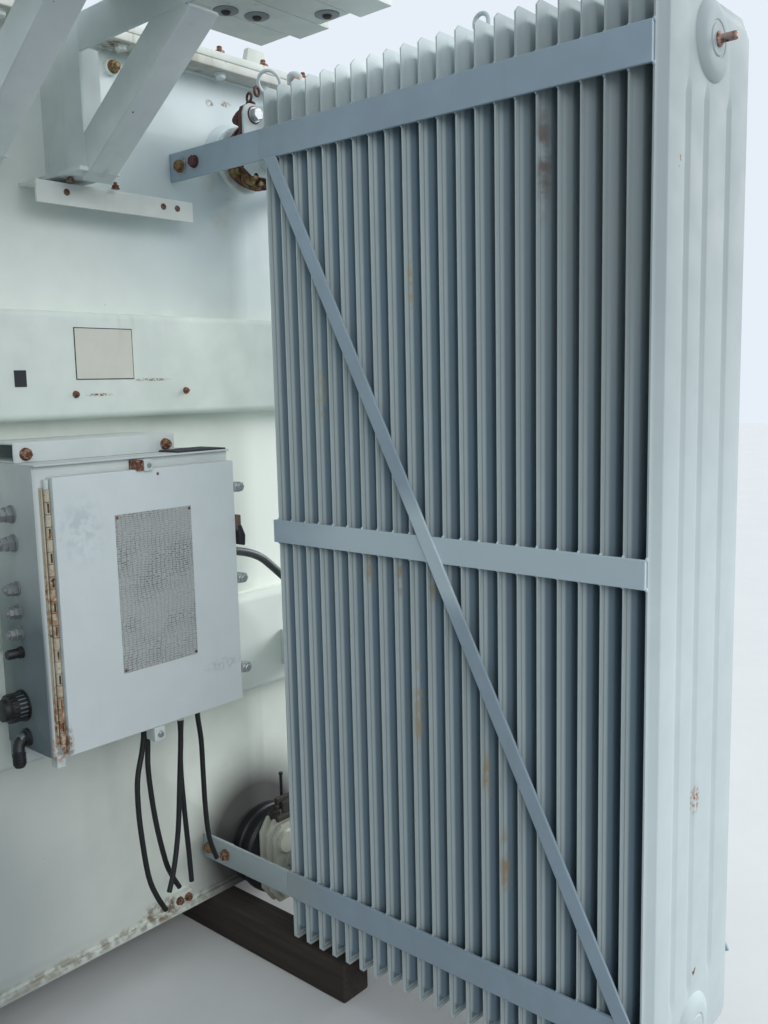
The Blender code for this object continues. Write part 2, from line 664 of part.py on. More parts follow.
def make_platform_and_shelf():
    """Build the brackets, the platform they carry and the wall angle."""
    for i, x in enumerate(BRACKET_X, start=1):
        make_bracket(f"bracket_{i}", x)
    z0 = ARM_Z[1] + FIT
    y0 = WALL_Y - PLATFORM_OUT[0]
    y1 = WALL_Y - PLATFORM_OUT[1]
    width = (y1 - y0) / PLANKS
    platform = new_object("platform", [box((PLATFORM_X[0], y0, z0),
                                           (PLATFORM_X[1], y1, z0 + PLATFORM_T))],
                          paint("platform", WHITE))
    ribs = [box((PLATFORM_X[0] + 0.001, y0 + i * width + 0.001, z0 + PLATFORM_T / 2),
                (PLATFORM_X[1] - 0.001, y0 + i * width + 0.009, z0 + PLANK_H))
            for i in range(PLANKS)]
    ribs.append(box((PLATFORM_X[0] + 0.001, y1 - 0.009, z0 + PLATFORM_T / 2),
                    (PLATFORM_X[1] - 0.001, y1 - 0.001, z0 + PLANK_H)))
    combine(platform, ribs)
    wall = WALL_Y - FIT
    shelf = new_object("wall_angle", [box((SHELF_X[0], wall - SHELF_OUT, SHELF_Z[1] - SHELF_T),
                                          (SHELF_X[1], wall, SHELF_Z[1]))],
                       paint("wall_angle", WHITE))
    combine(shelf, [box((SHELF_X[0] + 0.0002, wall - SHELF_OUT, SHELF_Z[0]),
                        (SHELF_X[1] - 0.0002, wall - SHELF_OUT + SHELF_T, SHELF_Z[1] - 0.001))])


def bushing_profile(height, radius, sheds):
    """Return the outline of a shedded insulator with a terminal stud."""
    base = COVER_Z1 + FIT
    profile = [(radius * 1.35, base), (radius * 1.35, base + 0.025), (radius * 0.8, base + 0.025)]
    pitch = (height - 0.12) / sheds
    for i in range(sheds):
        z = base + 0.045 + i * pitch
        profile += [(radius * 0.62, z), (radius, z + pitch * 0.30), (radius * 0.62, z + pitch * 0.55)]
    top = base + height - 0.06
    profile += [(radius * 0.55, top - 0.01), (radius * 0.55, top + 0.005), (radius * 0.16, top + 0.005),
                (radius * 0.16, base + height)]
    return profile


def make_bushings():
    """Build the high and low voltage bushings on the cover."""
    for i, x in enumerate(HV_X, start=1):
        new_object(f"hv_bushing_{i}", [turned((x, HV_Y), bushing_profile(HV_H, HV_R, 7), 12)],
                   paint(f"hv_bushing_{i}", PORCELAIN, roughness=0.2))
    for i, x in enumerate(LV_X, start=1):
        new_object(f"lv_bushing_{i}", [turned((x, LV_Y), bushing_profile(LV_H, LV_R, 3), 12)],
                   paint(f"lv_bushing_{i}", PORCELAIN, roughness=0.2))


def main():
    """Build the whole transformer."""
    clear_scene()
    make_tank()
    make_base()
    make_bands_and_cover()
    make_banks()
    make_cabinet()
    make_junction()
    make_platform_and_shelf()
    make_bushings()


main()
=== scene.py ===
"""Looks of an oil-filled power transformer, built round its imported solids.

Lengths are metres in the solids' own frame: the tank's long side runs along X, the front wall
faces -Y and the ground is z = 0.
"""

import logging
import math
from contextlib import contextmanager
from dataclasses import dataclass, field
from enum import Enum
from functools import cache
from typing import Callable, Iterator, Sequence

import bpy
from mathutils import Matrix, Vector


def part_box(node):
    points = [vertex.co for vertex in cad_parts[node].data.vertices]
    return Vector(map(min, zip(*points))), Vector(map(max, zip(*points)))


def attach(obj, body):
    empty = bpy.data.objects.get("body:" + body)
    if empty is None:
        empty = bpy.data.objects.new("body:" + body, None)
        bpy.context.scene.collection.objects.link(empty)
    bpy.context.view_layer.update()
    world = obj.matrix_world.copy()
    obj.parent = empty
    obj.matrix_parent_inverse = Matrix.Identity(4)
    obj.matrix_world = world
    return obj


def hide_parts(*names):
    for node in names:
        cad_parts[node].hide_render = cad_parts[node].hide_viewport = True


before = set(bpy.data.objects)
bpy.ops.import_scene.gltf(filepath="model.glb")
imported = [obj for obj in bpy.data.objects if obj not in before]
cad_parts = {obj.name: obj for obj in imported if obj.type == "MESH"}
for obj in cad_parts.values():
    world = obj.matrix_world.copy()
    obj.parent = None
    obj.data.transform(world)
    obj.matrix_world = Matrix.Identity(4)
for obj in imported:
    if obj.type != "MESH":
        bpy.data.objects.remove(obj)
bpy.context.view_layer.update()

LOG = logging.getLogger("transformer")
BODY = "transformer"
DOOR = "door"
SAME_SIZE = 1e-6

Point = tuple[float, float, float]
Colour = tuple[float, float, float]
Pair = tuple[float, float]


class Corner(Enum):
    """The four places of a radiator bank, as the signs that mirror the front right one."""

    FRONT_RIGHT = (1, 1)
    FRONT_LEFT = (-1, 1)
    BACK_RIGHT = (1, -1)
    BACK_LEFT = (-1, -1)

    @property
    def suffix(self) -> str:
        """Return the corner's name as the solids' names end."""
        return self.name.lower()

    @property
    def mirror(self) -> Matrix:
        """Return the matrix that mirrors the front right bank to this corner."""
        return Matrix.Diagonal((*self.value, 1.0, 1.0))


class Axis(Enum):
    """The direction that a turned or drawn shape points along."""

    X = (1, 0, 0)
    NEG_X = (-1, 0, 0)
    Y = (0, 1, 0)
    NEG_Y = (0, -1, 0)
    Z = (0, 0, 1)
    NEG_Z = (0, 0, -1)

    @property
    def turn(self) -> Matrix:
        """Return the matrix that turns +Z to this direction."""
        if self is Axis.NEG_Z:
            return Matrix.Rotation(math.pi, 4, "X")
        return Vector((0, 0, 1)).rotation_difference(Vector(self.value)).to_matrix().to_4x4()


class Bench:
    """The modelling steps that every piece shares, done with Blender's own operators."""

    @staticmethod
    def clear() -> None:
        """Leave edit mode and deselect everything."""
        if bpy.context.object is not None and bpy.context.object.mode != "OBJECT":
            bpy.ops.object.mode_set(mode="OBJECT")
        bpy.ops.object.select_all(action="DESELECT")

    @staticmethod
    def pick(obj: bpy.types.Object) -> None:
        """Make one object the only selected and the active one."""
        Bench.clear()
        obj.hide_set(False)
        obj.select_set(True)
        bpy.context.view_layer.objects.active = obj

    @staticmethod
    def discard(obj: bpy.types.Object) -> None:
        """Remove a model that copies were made from."""
        bpy.data.objects.remove(obj, do_unlink=True)

    @staticmethod
    def settle(obj: bpy.types.Object) -> bpy.types.Object:
        """Move an object's place, turn and size into its mesh."""
        Bench.pick(obj)
        bpy.ops.object.transform_apply(location=True, rotation=True, scale=True)
        return obj

    @staticmethod
    @contextmanager
    def editing(obj: bpy.types.Object) -> Iterator[None]:
        """Edit an object's whole mesh, and leave edit mode afterwards."""
        Bench.pick(obj)
        bpy.ops.object.mode_set(mode="EDIT")
        bpy.ops.mesh.select_all(action="SELECT")
        yield
        bpy.ops.object.mode_set(mode="OBJECT")

    @staticmethod
    def face_out() -> None:
        """Turn every face of the mesh in edit mode outwards."""
        bpy.ops.mesh.select_all(action="SELECT")
        bpy.ops.mesh.normals_make_consistent(inside=False)

    @staticmethod
    def choose(obj: bpy.types.Object, kind: str, test: Callable[[Vector], bool]) -> None:
        """Select in edit mode the vertices or faces whose place passes a test.

        Args:
            obj: The mesh object, which is left in edit mode.
            kind: VERT or FACE.
            test: A function of a vertex's place, or of a face's middle.
        """
        Bench.pick(obj)
        bpy.ops.object.mode_set(mode="EDIT")
        bpy.ops.mesh.select_mode(type=kind)
        bpy.ops.mesh.select_all(action="DESELECT")
        bpy.ops.object.mode_set(mode="OBJECT")
        if kind == "VERT":
            for vertex in obj.data.vertices:
                vertex.select = test(vertex.co)
        else:
            for face in obj.data.polygons:
                face.select = test(face.center)
        bpy.ops.object.mode_set(mode="EDIT")

    @staticmethod
    def bevelled(obj: bpy.types.Object, width: float, segments: int = 2,
                 angle: float = 35.0) -> bpy.types.Object:
        """Round an object's sharp edges and apply the result.

        Args:
            obj: The mesh object.
            width: How far the rounding reaches from each edge.
            segments: How many steps the rounding has.
            angle: Edges sharper than this many degrees are rounded.

        Returns:
            The same object.
        """
        Bench.pick(obj)
        modifier = obj.modifiers.new("rounding", "BEVEL")
        modifier.width = width
        modifier.segments = segments
        modifier.limit_method = "ANGLE"
        modifier.angle_limit = math.radians(angle)
        bpy.ops.object.modifier_apply(modifier=modifier.name)
        return obj

    @staticmethod
    def smoothed(obj: bpy.types.Object, degrees: float = 35.0) -> bpy.types.Object:
        """Shade an object smooth where its faces meet at less than an angle."""
        Bench.pick(obj)
        bpy.ops.object.shade_smooth_by_angle(angle=math.radians(degrees))
        return obj

    @staticmethod
    def block(name: str, low: Point, high: Point, rounding: float = 0.0015,
              segments: int = 2) -> bpy.types.Object:
        """Make a block with rounded edges between two corners."""
        Bench.clear()
        a, b = Vector(low), Vector(high)
        bpy.ops.mesh.primitive_cube_add(size=1.0, location=(a + b) / 2)
        obj = bpy.context.object
        obj.name = name
        obj.scale = b - a
        with Bench.editing(Bench.settle(obj)):
            if rounding > 0:
                bpy.ops.mesh.bevel(offset=rounding, segments=segments, affect="EDGES")
            bpy.ops.mesh.normals_make_consistent(inside=False)
        return obj

    @staticmethod
    def turned(name: str, rings: Sequence[Pair], place: Point, axis: Axis,
               sides: int = 24) -> bpy.types.Object:
        """Turn a closed round shape, ring by ring, by extruding and sizing its end.

        Args:
            name: The object's name.
            rings: Pairs of radius and distance along the axis, from the first end to the last.
            place: Where distance 0 lies.
            axis: The direction in which the distance grows.
            sides: How many sides each ring has.

        Returns:
            The new object, with its place in its mesh.
        """
        Bench.clear()
        radius, start = rings[0]
        bpy.ops.mesh.primitive_circle_add(vertices=sides, radius=radius, fill_type="NGON")
        obj = bpy.context.object
        obj.name = name
        with Bench.editing(obj):
            bpy.ops.transform.translate(value=(0, 0, start))
            for next_radius, distance in rings[1:]:
                bpy.ops.mesh.extrude_region_move(
                    TRANSFORM_OT_translate={"value": (0, 0, distance - start)})
                grow = next_radius / radius
                if abs(grow - 1) > SAME_SIZE:
                    bpy.ops.transform.resize(value=(grow, grow, 1))
                radius, start = next_radius, distance
            Bench.face_out()
        obj.matrix_world = Matrix.Translation(place) @ axis.turn
        return Bench.smoothed(Bench.settle(obj), 32)

    @staticmethod
    def slab(name: str, outline: Sequence[Pair], axis: Axis, start: float,
             end: float, rounding: float = 0.001) -> bpy.types.Object:
        """Draw a flat outline through a thickness and round its edges.

        Args:
            name: The object's name.
            outline: Corners in the two other axes, in their X, Y, Z order.
            axis: X, Y or Z, the direction of the thickness.
            start: The first face's place on the axis.
            end: The last face's place on the axis.
            rounding: How much its edges are rounded.

        Returns:
            The new object, with its place in its mesh.
        """
        Bench.clear()
        bpy.ops.mesh.primitive_circle_add(vertices=len(outline), radius=1, fill_type="NGON")
        obj = bpy.context.object
        obj.name = name
        for vertex, corner in zip(obj.data.vertices, outline):
            place = list(corner)
            place.insert(axis.value.index(1), start)
            vertex.co = place
        step = Vector(axis.value) * (end - start)
        with Bench.editing(obj):
            bpy.ops.mesh.extrude_region_move(TRANSFORM_OT_translate={"value": step})
            Bench.face_out()
        return Bench.bevelled(obj, rounding)

    @staticmethod
    def ring(centre: Point, radius: float, bar: float, tilt: Point, sides: int = 32,
             bar_sides: int = 10) -> bpy.types.Object:
        """Bend a ring of round bar.

        Args:
            centre: The ring's middle.
            radius: From the middle to the bar's centre line.
            bar: The bar's own radius.
            tilt: Its turn round X, Y and Z, in degrees.
            sides: How many steps the ring has.
            bar_sides: How many sides the bar has.

        Returns:
            The ring, with its place in its mesh.
        """
        Bench.clear()
        bpy.ops.mesh.primitive_torus_add(major_radius=radius, minor_radius=bar,
                                         major_segments=sides, minor_segments=bar_sides,
                                         location=centre,
                                         rotation=[math.radians(angle) for angle in tilt])
        return Bench.smoothed(Bench.settle(bpy.context.object), 60)

    @staticmethod
    def curve(name: str, points: Sequence[Point], radius: float,
              kind: str = "POLY") -> bpy.types.Object:
        """Lay a round curve of one open POLY or NURBS spline along points."""
        curve = bpy.data.curves.new(name, "CURVE")
        curve.dimensions = "3D"
        curve.bevel_depth = radius
        curve.bevel_resolution = 4
        curve.use_fill_caps = True
        spline = curve.splines.new(kind)
        spline.points.add(len(points) - 1)
        for point, place in zip(spline.points, points):
            point.co = (*place, 1.0)
        obj = bpy.data.objects.new(name, curve)
        bpy.context.scene.collection.objects.link(obj)
        return obj

    @staticmethod
    def tube(name: str, points: Sequence[Point], radius: float) -> bpy.types.Object:
        """Bend a smooth mesh tube along points."""
        obj = Bench.curve(name, points, radius, "NURBS")
        obj.data.resolution_u = 6
        obj.data.splines[0].order_u = 3
        obj.data.splines[0].use_endpoint_u = True
        Bench.pick(obj)
        bpy.ops.object.convert(target="MESH")
        return Bench.smoothed(bpy.context.object, 50)

    @staticmethod
    def joined(name: str, parts: Sequence[bpy.types.Object]) -> bpy.types.Object:
        """Join several mesh objects into one named object."""
        Bench.clear()
        for part in parts:
            part.select_set(True)
        bpy.context.view_layer.objects.active = parts[0]
        if len(parts) > 1:
            bpy.ops.object.join()
        obj = bpy.context.object
        obj.name = name
        obj.data.name = name
        return obj

    @staticmethod
    def copied(source: bpy.types.Object, name: str, place: Matrix) -> bpy.types.Object:
        """Copy an object with its own mesh, moved by a matrix."""
        copy = source.copy()
        copy.data = source.data.copy()
        copy.name = name
        bpy.context.scene.collection.objects.link(copy)
        copy.data.transform(place)
        if place.determinant() < 0:
            copy.data.flip_normals()
        return copy

    @staticmethod
    def softened(node: str, name: str, width: float, segments: int = 2) -> bpy.types.Object:
        """Copy a solid, merge its loose triangles and round its edges.

        Args:
            node: The solid's name.
            name: The new piece's name.
            width: How far the rounding reaches.
            segments: How many steps the rounding has.

        Returns:
            The piece that stands for the solid.
        """
        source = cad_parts[node]
        obj = bpy.data.objects.new(name, source.data.copy())
        obj.data.materials.clear()
        bpy.context.scene.collection.objects.link(obj)
        with Bench.editing(obj):
            bpy.ops.mesh.remove_doubles(threshold=0.00002)
            bpy.ops.mesh.dissolve_limited(angle_limit=math.radians(1.0))
        Bench.smoothed(Bench.bevelled(obj, width, segments, 30), 30)
        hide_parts(node)
        return obj


class Nodes:
    """A node tree, with short ways to add and join its nodes."""

    def __init__(self, tree: bpy.types.NodeTree) -> None:
        """Take the tree that the nodes go into."""
        self.tree = tree

    def feed(self, target: bpy.types.NodeSocket, value: object) -> None:
        """Link a socket to an input, or set the input to a plain value."""
        if isinstance(value, bpy.types.NodeSocket):
            self.tree.links.new(value, target)
        elif isinstance(value, tuple) and len(value) == 3 and target.type == "RGBA":
            target.default_value = (*value, 1.0)
        else:
            target.default_value = value

    def add(self, kind: str, inputs: dict[str | int, object] | None = None,
            **settings: object) -> bpy.types.Node:
        """Add a shader node.

        Args:
            kind: The node's type, such as Math or TexNoise.
            inputs: What its inputs are linked or set to, by name or number.
            settings: The node's own properties.

        Returns:
            The node.
        """
        node = self.tree.nodes.new(f"ShaderNode{kind}")
        for key, value in settings.items():
            setattr(node, key, value)
        for key, value in (inputs or {}).items():
            self.feed(node.inputs[key], value)
        return node

    def maths(self, operation: str, *values: object) -> bpy.types.NodeSocket:
        """Add a Math node and return its value."""
        return self.add("Math", dict(enumerate(values)), operation=operation).outputs["Value"]

    def vector(self, operation: str, *values: object,
               result: str = "Vector") -> bpy.types.NodeSocket:
        """Add a Vector Math node and return its vector, or the result of another name."""
        return self.add("VectorMath", dict(enumerate(values)), operation=operation).outputs[result]

    def noise(self, place: object, scale: object, detail: float = 2.0,
              **others: float) -> bpy.types.NodeSocket:
        """Add noise on a place and return its value."""
        inputs = {"Vector": place, "Scale": scale, "Detail": detail, **others}
        return self.add("TexNoise", inputs).outputs["Fac"]

    def stretched(self, place: object, scale: Point) -> bpy.types.NodeSocket:
        """Return a place with each axis scaled."""
        return self.add("Mapping", {"Vector": place, "Scale": scale}).outputs["Vector"]

    def window(self, value: object, low: object, high: object) -> bpy.types.NodeSocket:
        """Map a value from a low to a high limit smoothly to 0..1."""
        limits = {"Value": value, "From Min": low, "From Max": high}
        return self.add("MapRange", limits, interpolation_type="SMOOTHSTEP").outputs["Result"]

    def spread(self, value: object, start: float, end: float, low: float = 0.0,
               high: float = 1.0) -> bpy.types.NodeSocket:
        """Map a value from low..high evenly to start..end."""
        limits = {"Value": value, "From Min": low, "From Max": high, "To Min": start,
                  "To Max": end}
        return self.add("MapRange", limits).outputs["Result"]


class Sheet(Nodes):
    """A material's node tree, built round one Principled shader."""

    def __init__(self, name: str, roughness: float) -> None:
        """Make a material that has only its shader and its place."""
        self.material = bpy.data.materials.new(name)
        self.material.use_nodes = True
        super().__init__(self.material.node_tree)
        self.shader = self.tree.nodes["Principled BSDF"]
        self.place = self.add("TexCoord").outputs["Object"]
        self.set(Roughness=roughness)

    def set(self, **values: object) -> None:
        """Link or set the shader's inputs, with _ for each space in a name."""
        for key, value in values.items():
            self.feed(self.shader.inputs[key.replace("_", " ")], value)

    def group(self, tree: bpy.types.NodeTree, **values: object) -> bpy.types.Node:
        """Place a shared group on the material's place, and link or set its other inputs."""
        return self.add("Group", {"Place": self.place, **values}, node_tree=tree)

    def mix(self, mask: bpy.types.NodeSocket, base: object, top: object) -> bpy.types.NodeSocket:
        """Mix two colours, each a socket or a plain colour, by a mask."""
        node = self.add("Mix", {"Factor": mask, "A": base, "B": top}, data_type="RGBA")
        return node.outputs["Result"]

    def bump(self, height: bpy.types.NodeSocket, strength: float, distance: float) -> None:
        """Feed a height through a Bump node to the shader's normal."""
        node = self.add("Bump", {"Strength": strength, "Distance": distance, "Height": height})
        self.set(Normal=node.outputs["Normal"])


class Effects:
    """Shared node groups, each built once: masks and heights that several finishes use."""

    @staticmethod
    def _start(name: str, inputs: dict[str, object],
               outputs: Sequence[str]) -> tuple[Nodes, Sequence, Sequence]:
        """Make a node group that takes a place and named values.

        Args:
            name: The group's name.
            inputs: The first value of each input beside the place, by its name.
            outputs: The outputs' names, of which Colour is a colour and the rest are numbers.

        Returns:
            The group's nodes, the values that it is given and the inputs of its result.
        """
        tree = bpy.data.node_groups.new(name, "ShaderNodeTree")
        tree.interface.new_socket("Place", in_out="INPUT", socket_type="NodeSocketVector")
        for label, value in inputs.items():
            kind = "NodeSocketFloat" if isinstance(value, float) else "NodeSocketVector"
            socket = tree.interface.new_socket(label, in_out="INPUT", socket_type=kind)
            socket.default_value = value
        for label in outputs:
            kind = "NodeSocketColor" if label == "Colour" else "NodeSocketFloat"
            tree.interface.new_socket(label, in_out="OUTPUT", socket_type=kind)
        given = tree.nodes.new("NodeGroupInput").outputs
        return Nodes(tree), given, tree.nodes.new("NodeGroupOutput").inputs

    @classmethod
    @cache
    def mottle(cls) -> bpy.types.NodeTree:
        """Return the group for uneven, chalked paint: a broad mask and a fine height."""
        nodes, given, result = cls._start("mottle", {}, ("Mask", "Height"))
        place = given["Place"]
        both = nodes.maths("ADD", nodes.maths("MULTIPLY", nodes.noise(place, 2.2, 5.0), 0.65),
                           nodes.maths("MULTIPLY", nodes.noise(place, 16.0, 4.0), 0.35))
        nodes.feed(result["Mask"], nodes.window(both, 0.36, 0.66))
        nodes.feed(result["Height"], nodes.noise(place, 220.0, 2.0))
        return nodes.tree

    @classmethod
    @cache
    def streaks(cls) -> bpy.types.NodeTree:
        """Return the group for dirt that has run down: a mask of long upright streaks."""
        nodes, given, result = cls._start("streaks", {"Low": 0.55, "High": 0.75}, ("Mask",))
        place = given["Place"]
        lines = nodes.noise(nodes.stretched(place, (1, 1, 0.035)), 26.0, 3.0)
        patch = nodes.window(nodes.noise(place, 2.6, 3.0), 0.42, 0.62)
        run = nodes.window(lines, given["Low"], given["High"])
        nodes.feed(result["Mask"], nodes.maths("MULTIPLY", run, patch))
        return nodes.tree

    @classmethod
    @cache
    def rust(cls) -> bpy.types.NodeTree:
        """Return the group for rust spots: a mask and a varied colour."""
        nodes, given, result = cls._start("rust", {"Scale": 30.0, "Low": 0.62, "High": 0.68},
                                          ("Mask", "Colour"))
        place = given["Place"]
        spots = nodes.noise(place, given["Scale"], 8.0, Roughness=0.6)
        nodes.feed(result["Mask"], nodes.window(spots, given["Low"], given["High"]))
        ramp = nodes.add("ValToRGB", {"Fac": nodes.noise(place, 90.0, 4.0)})
        dark, light = ramp.color_ramp.elements
        dark.color, dark.position = (0.055, 0.018, 0.010, 1), 0.35
        light.color, light.position = (0.30, 0.115, 0.045, 1), 0.65
        nodes.feed(result["Colour"], ramp.outputs["Color"])
        return nodes.tree

    @classmethod
    @cache
    def spot(cls) -> bpy.types.NodeTree:
        """Return the group for one local mark: a soft, ragged ball of marks round a centre."""
        nodes, given, result = cls._start(
            "spot", {"Centre": (0.0, 0.0, 0.0), "Stretch": (1.0, 1.0, 1.0), "Radius": 0.1,
                     "Grain": 40.0}, ("Mask",))
        place = given["Place"]
        shift = nodes.vector("SUBTRACT", place, given["Centre"])
        scaled = nodes.vector("MULTIPLY", shift, given["Stretch"])
        away = nodes.maths("DIVIDE", nodes.vector("LENGTH", scaled, result="Value"),
                           given["Radius"])
        ragged = nodes.window(nodes.noise(place, given["Grain"], 5.0), 0.38, 0.62)
        nodes.feed(result["Mask"], nodes.maths("MULTIPLY", nodes.window(away, 1.0, 0.25), ragged))
        return nodes.tree

    @classmethod
    @cache
    def recess(cls) -> bpy.types.NodeTree:
        """Return the group for the painted shade inside a row of panels.

        Its mask starts at a depth behind the panels' edges, and its fold mask paints a thin line
        of shade before that, where each panel's edge is folded.
        """
        nodes, given, result = cls._start(
            "recess", {"Middle": (0.0, 0.0, 0.0), "Half": (1.0, 1.0, 1.0), "Low": 0.02,
                       "High": 0.03}, ("Mask", "Fold"))
        mirrored = nodes.vector("ABSOLUTE", given["Place"])
        away = nodes.vector("ABSOLUTE", nodes.vector("SUBTRACT", mirrored, given["Middle"]))
        depths = nodes.add("SeparateXYZ", {"Vector": nodes.vector("SUBTRACT", given["Half"],
                                                                  away)}).outputs
        least = nodes.maths("MINIMUM", depths["X"], depths["Z"])
        between = nodes.window(depths["Y"], 0.0, 0.001)
        deep = nodes.window(least, given["Low"], given["High"])
        fold = nodes.maths("SUBTRACT", nodes.window(least, 0.0080, 0.0095),
                           nodes.window(least, 0.0105, 0.0120))
        for label, mask in (("Mask", deep), ("Fold", fold)):
            nodes.feed(result[label], nodes.maths("MULTIPLY", mask, between))
        return nodes.tree


@dataclass(frozen=True)
class Recess:
    """Painted shade inside a row of panels and on their folds, mirrored to every corner of the
    tank.
    """

    middle: Point
    half: Point
    limits: Pair
    # The painted shade's colour inside the row.
    colour: Colour
    # The colour of the painted line of shade along each fold.
    fold: Colour


@dataclass(frozen=True)
class Stain:
    """One local mark on a painted surface: real dirt or rust, or a patch of painted light or shade.
    """

    centre: Point
    radius: float
    colour: Colour
    strength: float = 1.0
    stretch: Point = (1.0, 1.0, 1.0)
    grain: float = 40.0


@dataclass(frozen=True)
class PaintFinish:
    """Weathered outdoor paint over steel."""

    name: str
    colour: Colour
    dull: Colour
    streak: Colour = (0.36, 0.36, 0.30)
    streak_limits: Pair = (0.58, 0.80)
    streak_strength: float = 0.45
    rust_limits: Pair = (0.70, 0.74)
    rust_scale: float = 14.0
    roughness: float = 0.62
    # Local marks: real marks of dirt and rust, and patches of painted light and shade.
    stains: tuple[Stain, ...] = ()
    # Painted shade inside a row of panels, if any.
    recess: Recess | None = None
    chalk: float = 0.16
    wear: float = 0.06

    def make(self) -> bpy.types.Material:
        """Build the paint's material.

        Returns:
            The material, ready to be put on a piece.
        """
        sheet = Sheet(self.name, self.roughness)
        mottle = sheet.group(Effects.mottle()).outputs
        colour = sheet.mix(mottle["Mask"], self.dull, self.colour)
        low, high = self.streak_limits
        streak = sheet.group(Effects.streaks(), Low=low, High=high).outputs["Mask"]
        colour = sheet.mix(sheet.maths("MULTIPLY", streak, self.streak_strength), colour,
                           self.streak)
        # Painted shade inside the row of panels, and a painted line of shade along each fold.
        if self.recess is not None:
            low, high = self.recess.limits
            deep = sheet.group(Effects.recess(), Middle=self.recess.middle,
                               Half=self.recess.half, Low=low, High=high).outputs
            colour = sheet.mix(deep["Mask"], colour, self.recess.colour)
            colour = sheet.mix(deep["Fold"], colour, self.recess.fold)
        # Real marks of dirt and rust, and patches of painted light and shade.
        for stain in self.stains:
            spot = sheet.group(Effects.spot(), Centre=stain.centre, Stretch=stain.stretch,
                               Radius=stain.radius, Grain=stain.grain).outputs["Mask"]
            colour = sheet.mix(sheet.maths("MULTIPLY", spot, stain.strength), colour,
                               stain.colour)
        low, high = self.rust_limits
        rust = sheet.group(Effects.rust(), Scale=self.rust_scale, Low=low, High=high).outputs
        colour = sheet.mix(rust["Mask"], colour, rust["Colour"])
        rough = sheet.spread(mottle["Mask"], self.roughness + self.chalk,
                             self.roughness - self.wear)
        sheet.set(Base_Color=colour, Roughness=rough, Specular_IOR_Level=0.35)
        sheet.bump(mottle["Height"], 0.12, 0.0006)
        return sheet.material


@dataclass(frozen=True)
class MetalFinish:
    """Bare or plated metal that has started to rust."""

    name: str
    colour: Colour
    metallic: float = 0.8
    roughness: float = 0.42
    rust_limits: Pair = (0.55, 0.65)
    rust_scale: float = 60.0
    rust_roughness: float = 0.85

    def make(self) -> bpy.types.Material:
        """Build the metal's material."""
        sheet = Sheet(self.name, self.roughness)
        low, high = self.rust_limits
        rust = sheet.group(Effects.rust(), Scale=self.rust_scale, Low=low, High=high).outputs
        mask = rust["Mask"]
        sheet.set(Base_Color=sheet.mix(mask, self.colour, rust["Colour"]),
                  Metallic=sheet.spread(mask, self.metallic, 0.0),
                  Roughness=sheet.spread(mask, self.roughness, self.rust_roughness))
        sheet.bump(mask, 0.35, 0.0006)
        return sheet.material


@dataclass(frozen=True)
class SheathFinish:
    """Black or grey rubber and moulded plastic with dust on it."""

    name: str
    colour: Colour
    dust: Colour
    roughness: float = 0.6

    def make(self) -> bpy.types.Material:
        """Build the sheath's material."""
        sheet = Sheet(self.name, self.roughness)
        mottle = sheet.group(Effects.mottle()).outputs
        sheet.set(Base_Color=sheet.mix(mottle["Mask"], self.colour, self.dust))
        sheet.bump(mottle["Height"], 0.2, 0.0004)
        return sheet.material


@dataclass(frozen=True)
class TimberFinish:
    """Old, dark, oil-stained timber with its grain along one axis."""

    name: str
    dark: Colour
    light: Colour
    stretch: Point = (30.0, 1.4, 30.0)

    def make(self) -> bpy.types.Material:
        """Build the timber's material."""
        sheet = Sheet(self.name, 0.9)
        grain = sheet.noise(sheet.stretched(sheet.place, self.stretch), 2.4, 8.0, Distortion=0.4)
        sheet.set(Base_Color=sheet.mix(grain, self.dark, self.light))
        sheet.bump(grain, 0.6, 0.004)
        return sheet.material


@dataclass(frozen=True)
class PlateFinish:
    """A thin metal plate covered with fine, meaningless engraved rows.

    The rows and the columns are each given by their count in a metre, their sway and the
    share of the pitch that is engraved.
    """

    name: str
    colour: Colour
    mark: Colour
    rows: tuple[float, float, float] = (196.0, 3.4, 0.52)
    columns: tuple[float, float, float] = (92.0, 2.6, 0.22)
    column_strength: float = 0.55
    dash_rate: float = 240.0

    def make(self) -> bpy.types.Material:
        """Build the plate's material."""
        sheet = Sheet(self.name, 0.5)
        place = sheet.add("SeparateXYZ", {"Vector": sheet.place}).outputs
        drift = sheet.noise(sheet.place, 14.0)
        counts, lines = [], []
        for axis, (rate, sway, share) in (("Z", self.rows), ("X", self.columns)):
            count = sheet.maths("MULTIPLY_ADD", place[axis], rate,
                                sheet.maths("MULTIPLY", drift, sway))
            counts.append(count)
            lines.append(sheet.maths("LESS_THAN", sheet.maths("FRACT", count), share))
        along = sheet.add("CombineXYZ", {"X": sheet.maths("MULTIPLY", place["X"], self.dash_rate),
                                         "Z": sheet.maths("FLOOR", counts[0])})
        dashes = sheet.noise(along.outputs["Vector"], 0.9)
        rows = sheet.maths("MULTIPLY", sheet.spread(dashes, 0.0, 1.0, 0.34, 0.68), lines[0])
        either = sheet.maths("MAXIMUM", rows,
                             sheet.maths("MULTIPLY", lines[1], self.column_strength))
        marks = sheet.maths("MULTIPLY", either, sheet.spread(drift, 0.45, 1.0, 0.38, 0.62))
        sheet.set(Base_Color=sheet.mix(marks, self.colour, self.mark))
        sheet.bump(either, 0.25, 0.0003)
        return sheet.material


@dataclass(frozen=True)
class GlazeFinish:
    """Glazed brown porcelain with a little dust."""

    name: str
    colour: Colour
    dust: Colour

    def make(self) -> bpy.types.Material:
        """Build the glaze's material."""
        sheet = Sheet(self.name, 0.16)
        mottle = sheet.group(Effects.mottle()).outputs
        sheet.set(Base_Color=sheet.mix(mottle["Mask"], self.colour, self.dust), Coat_Weight=0.6)
        return sheet.material


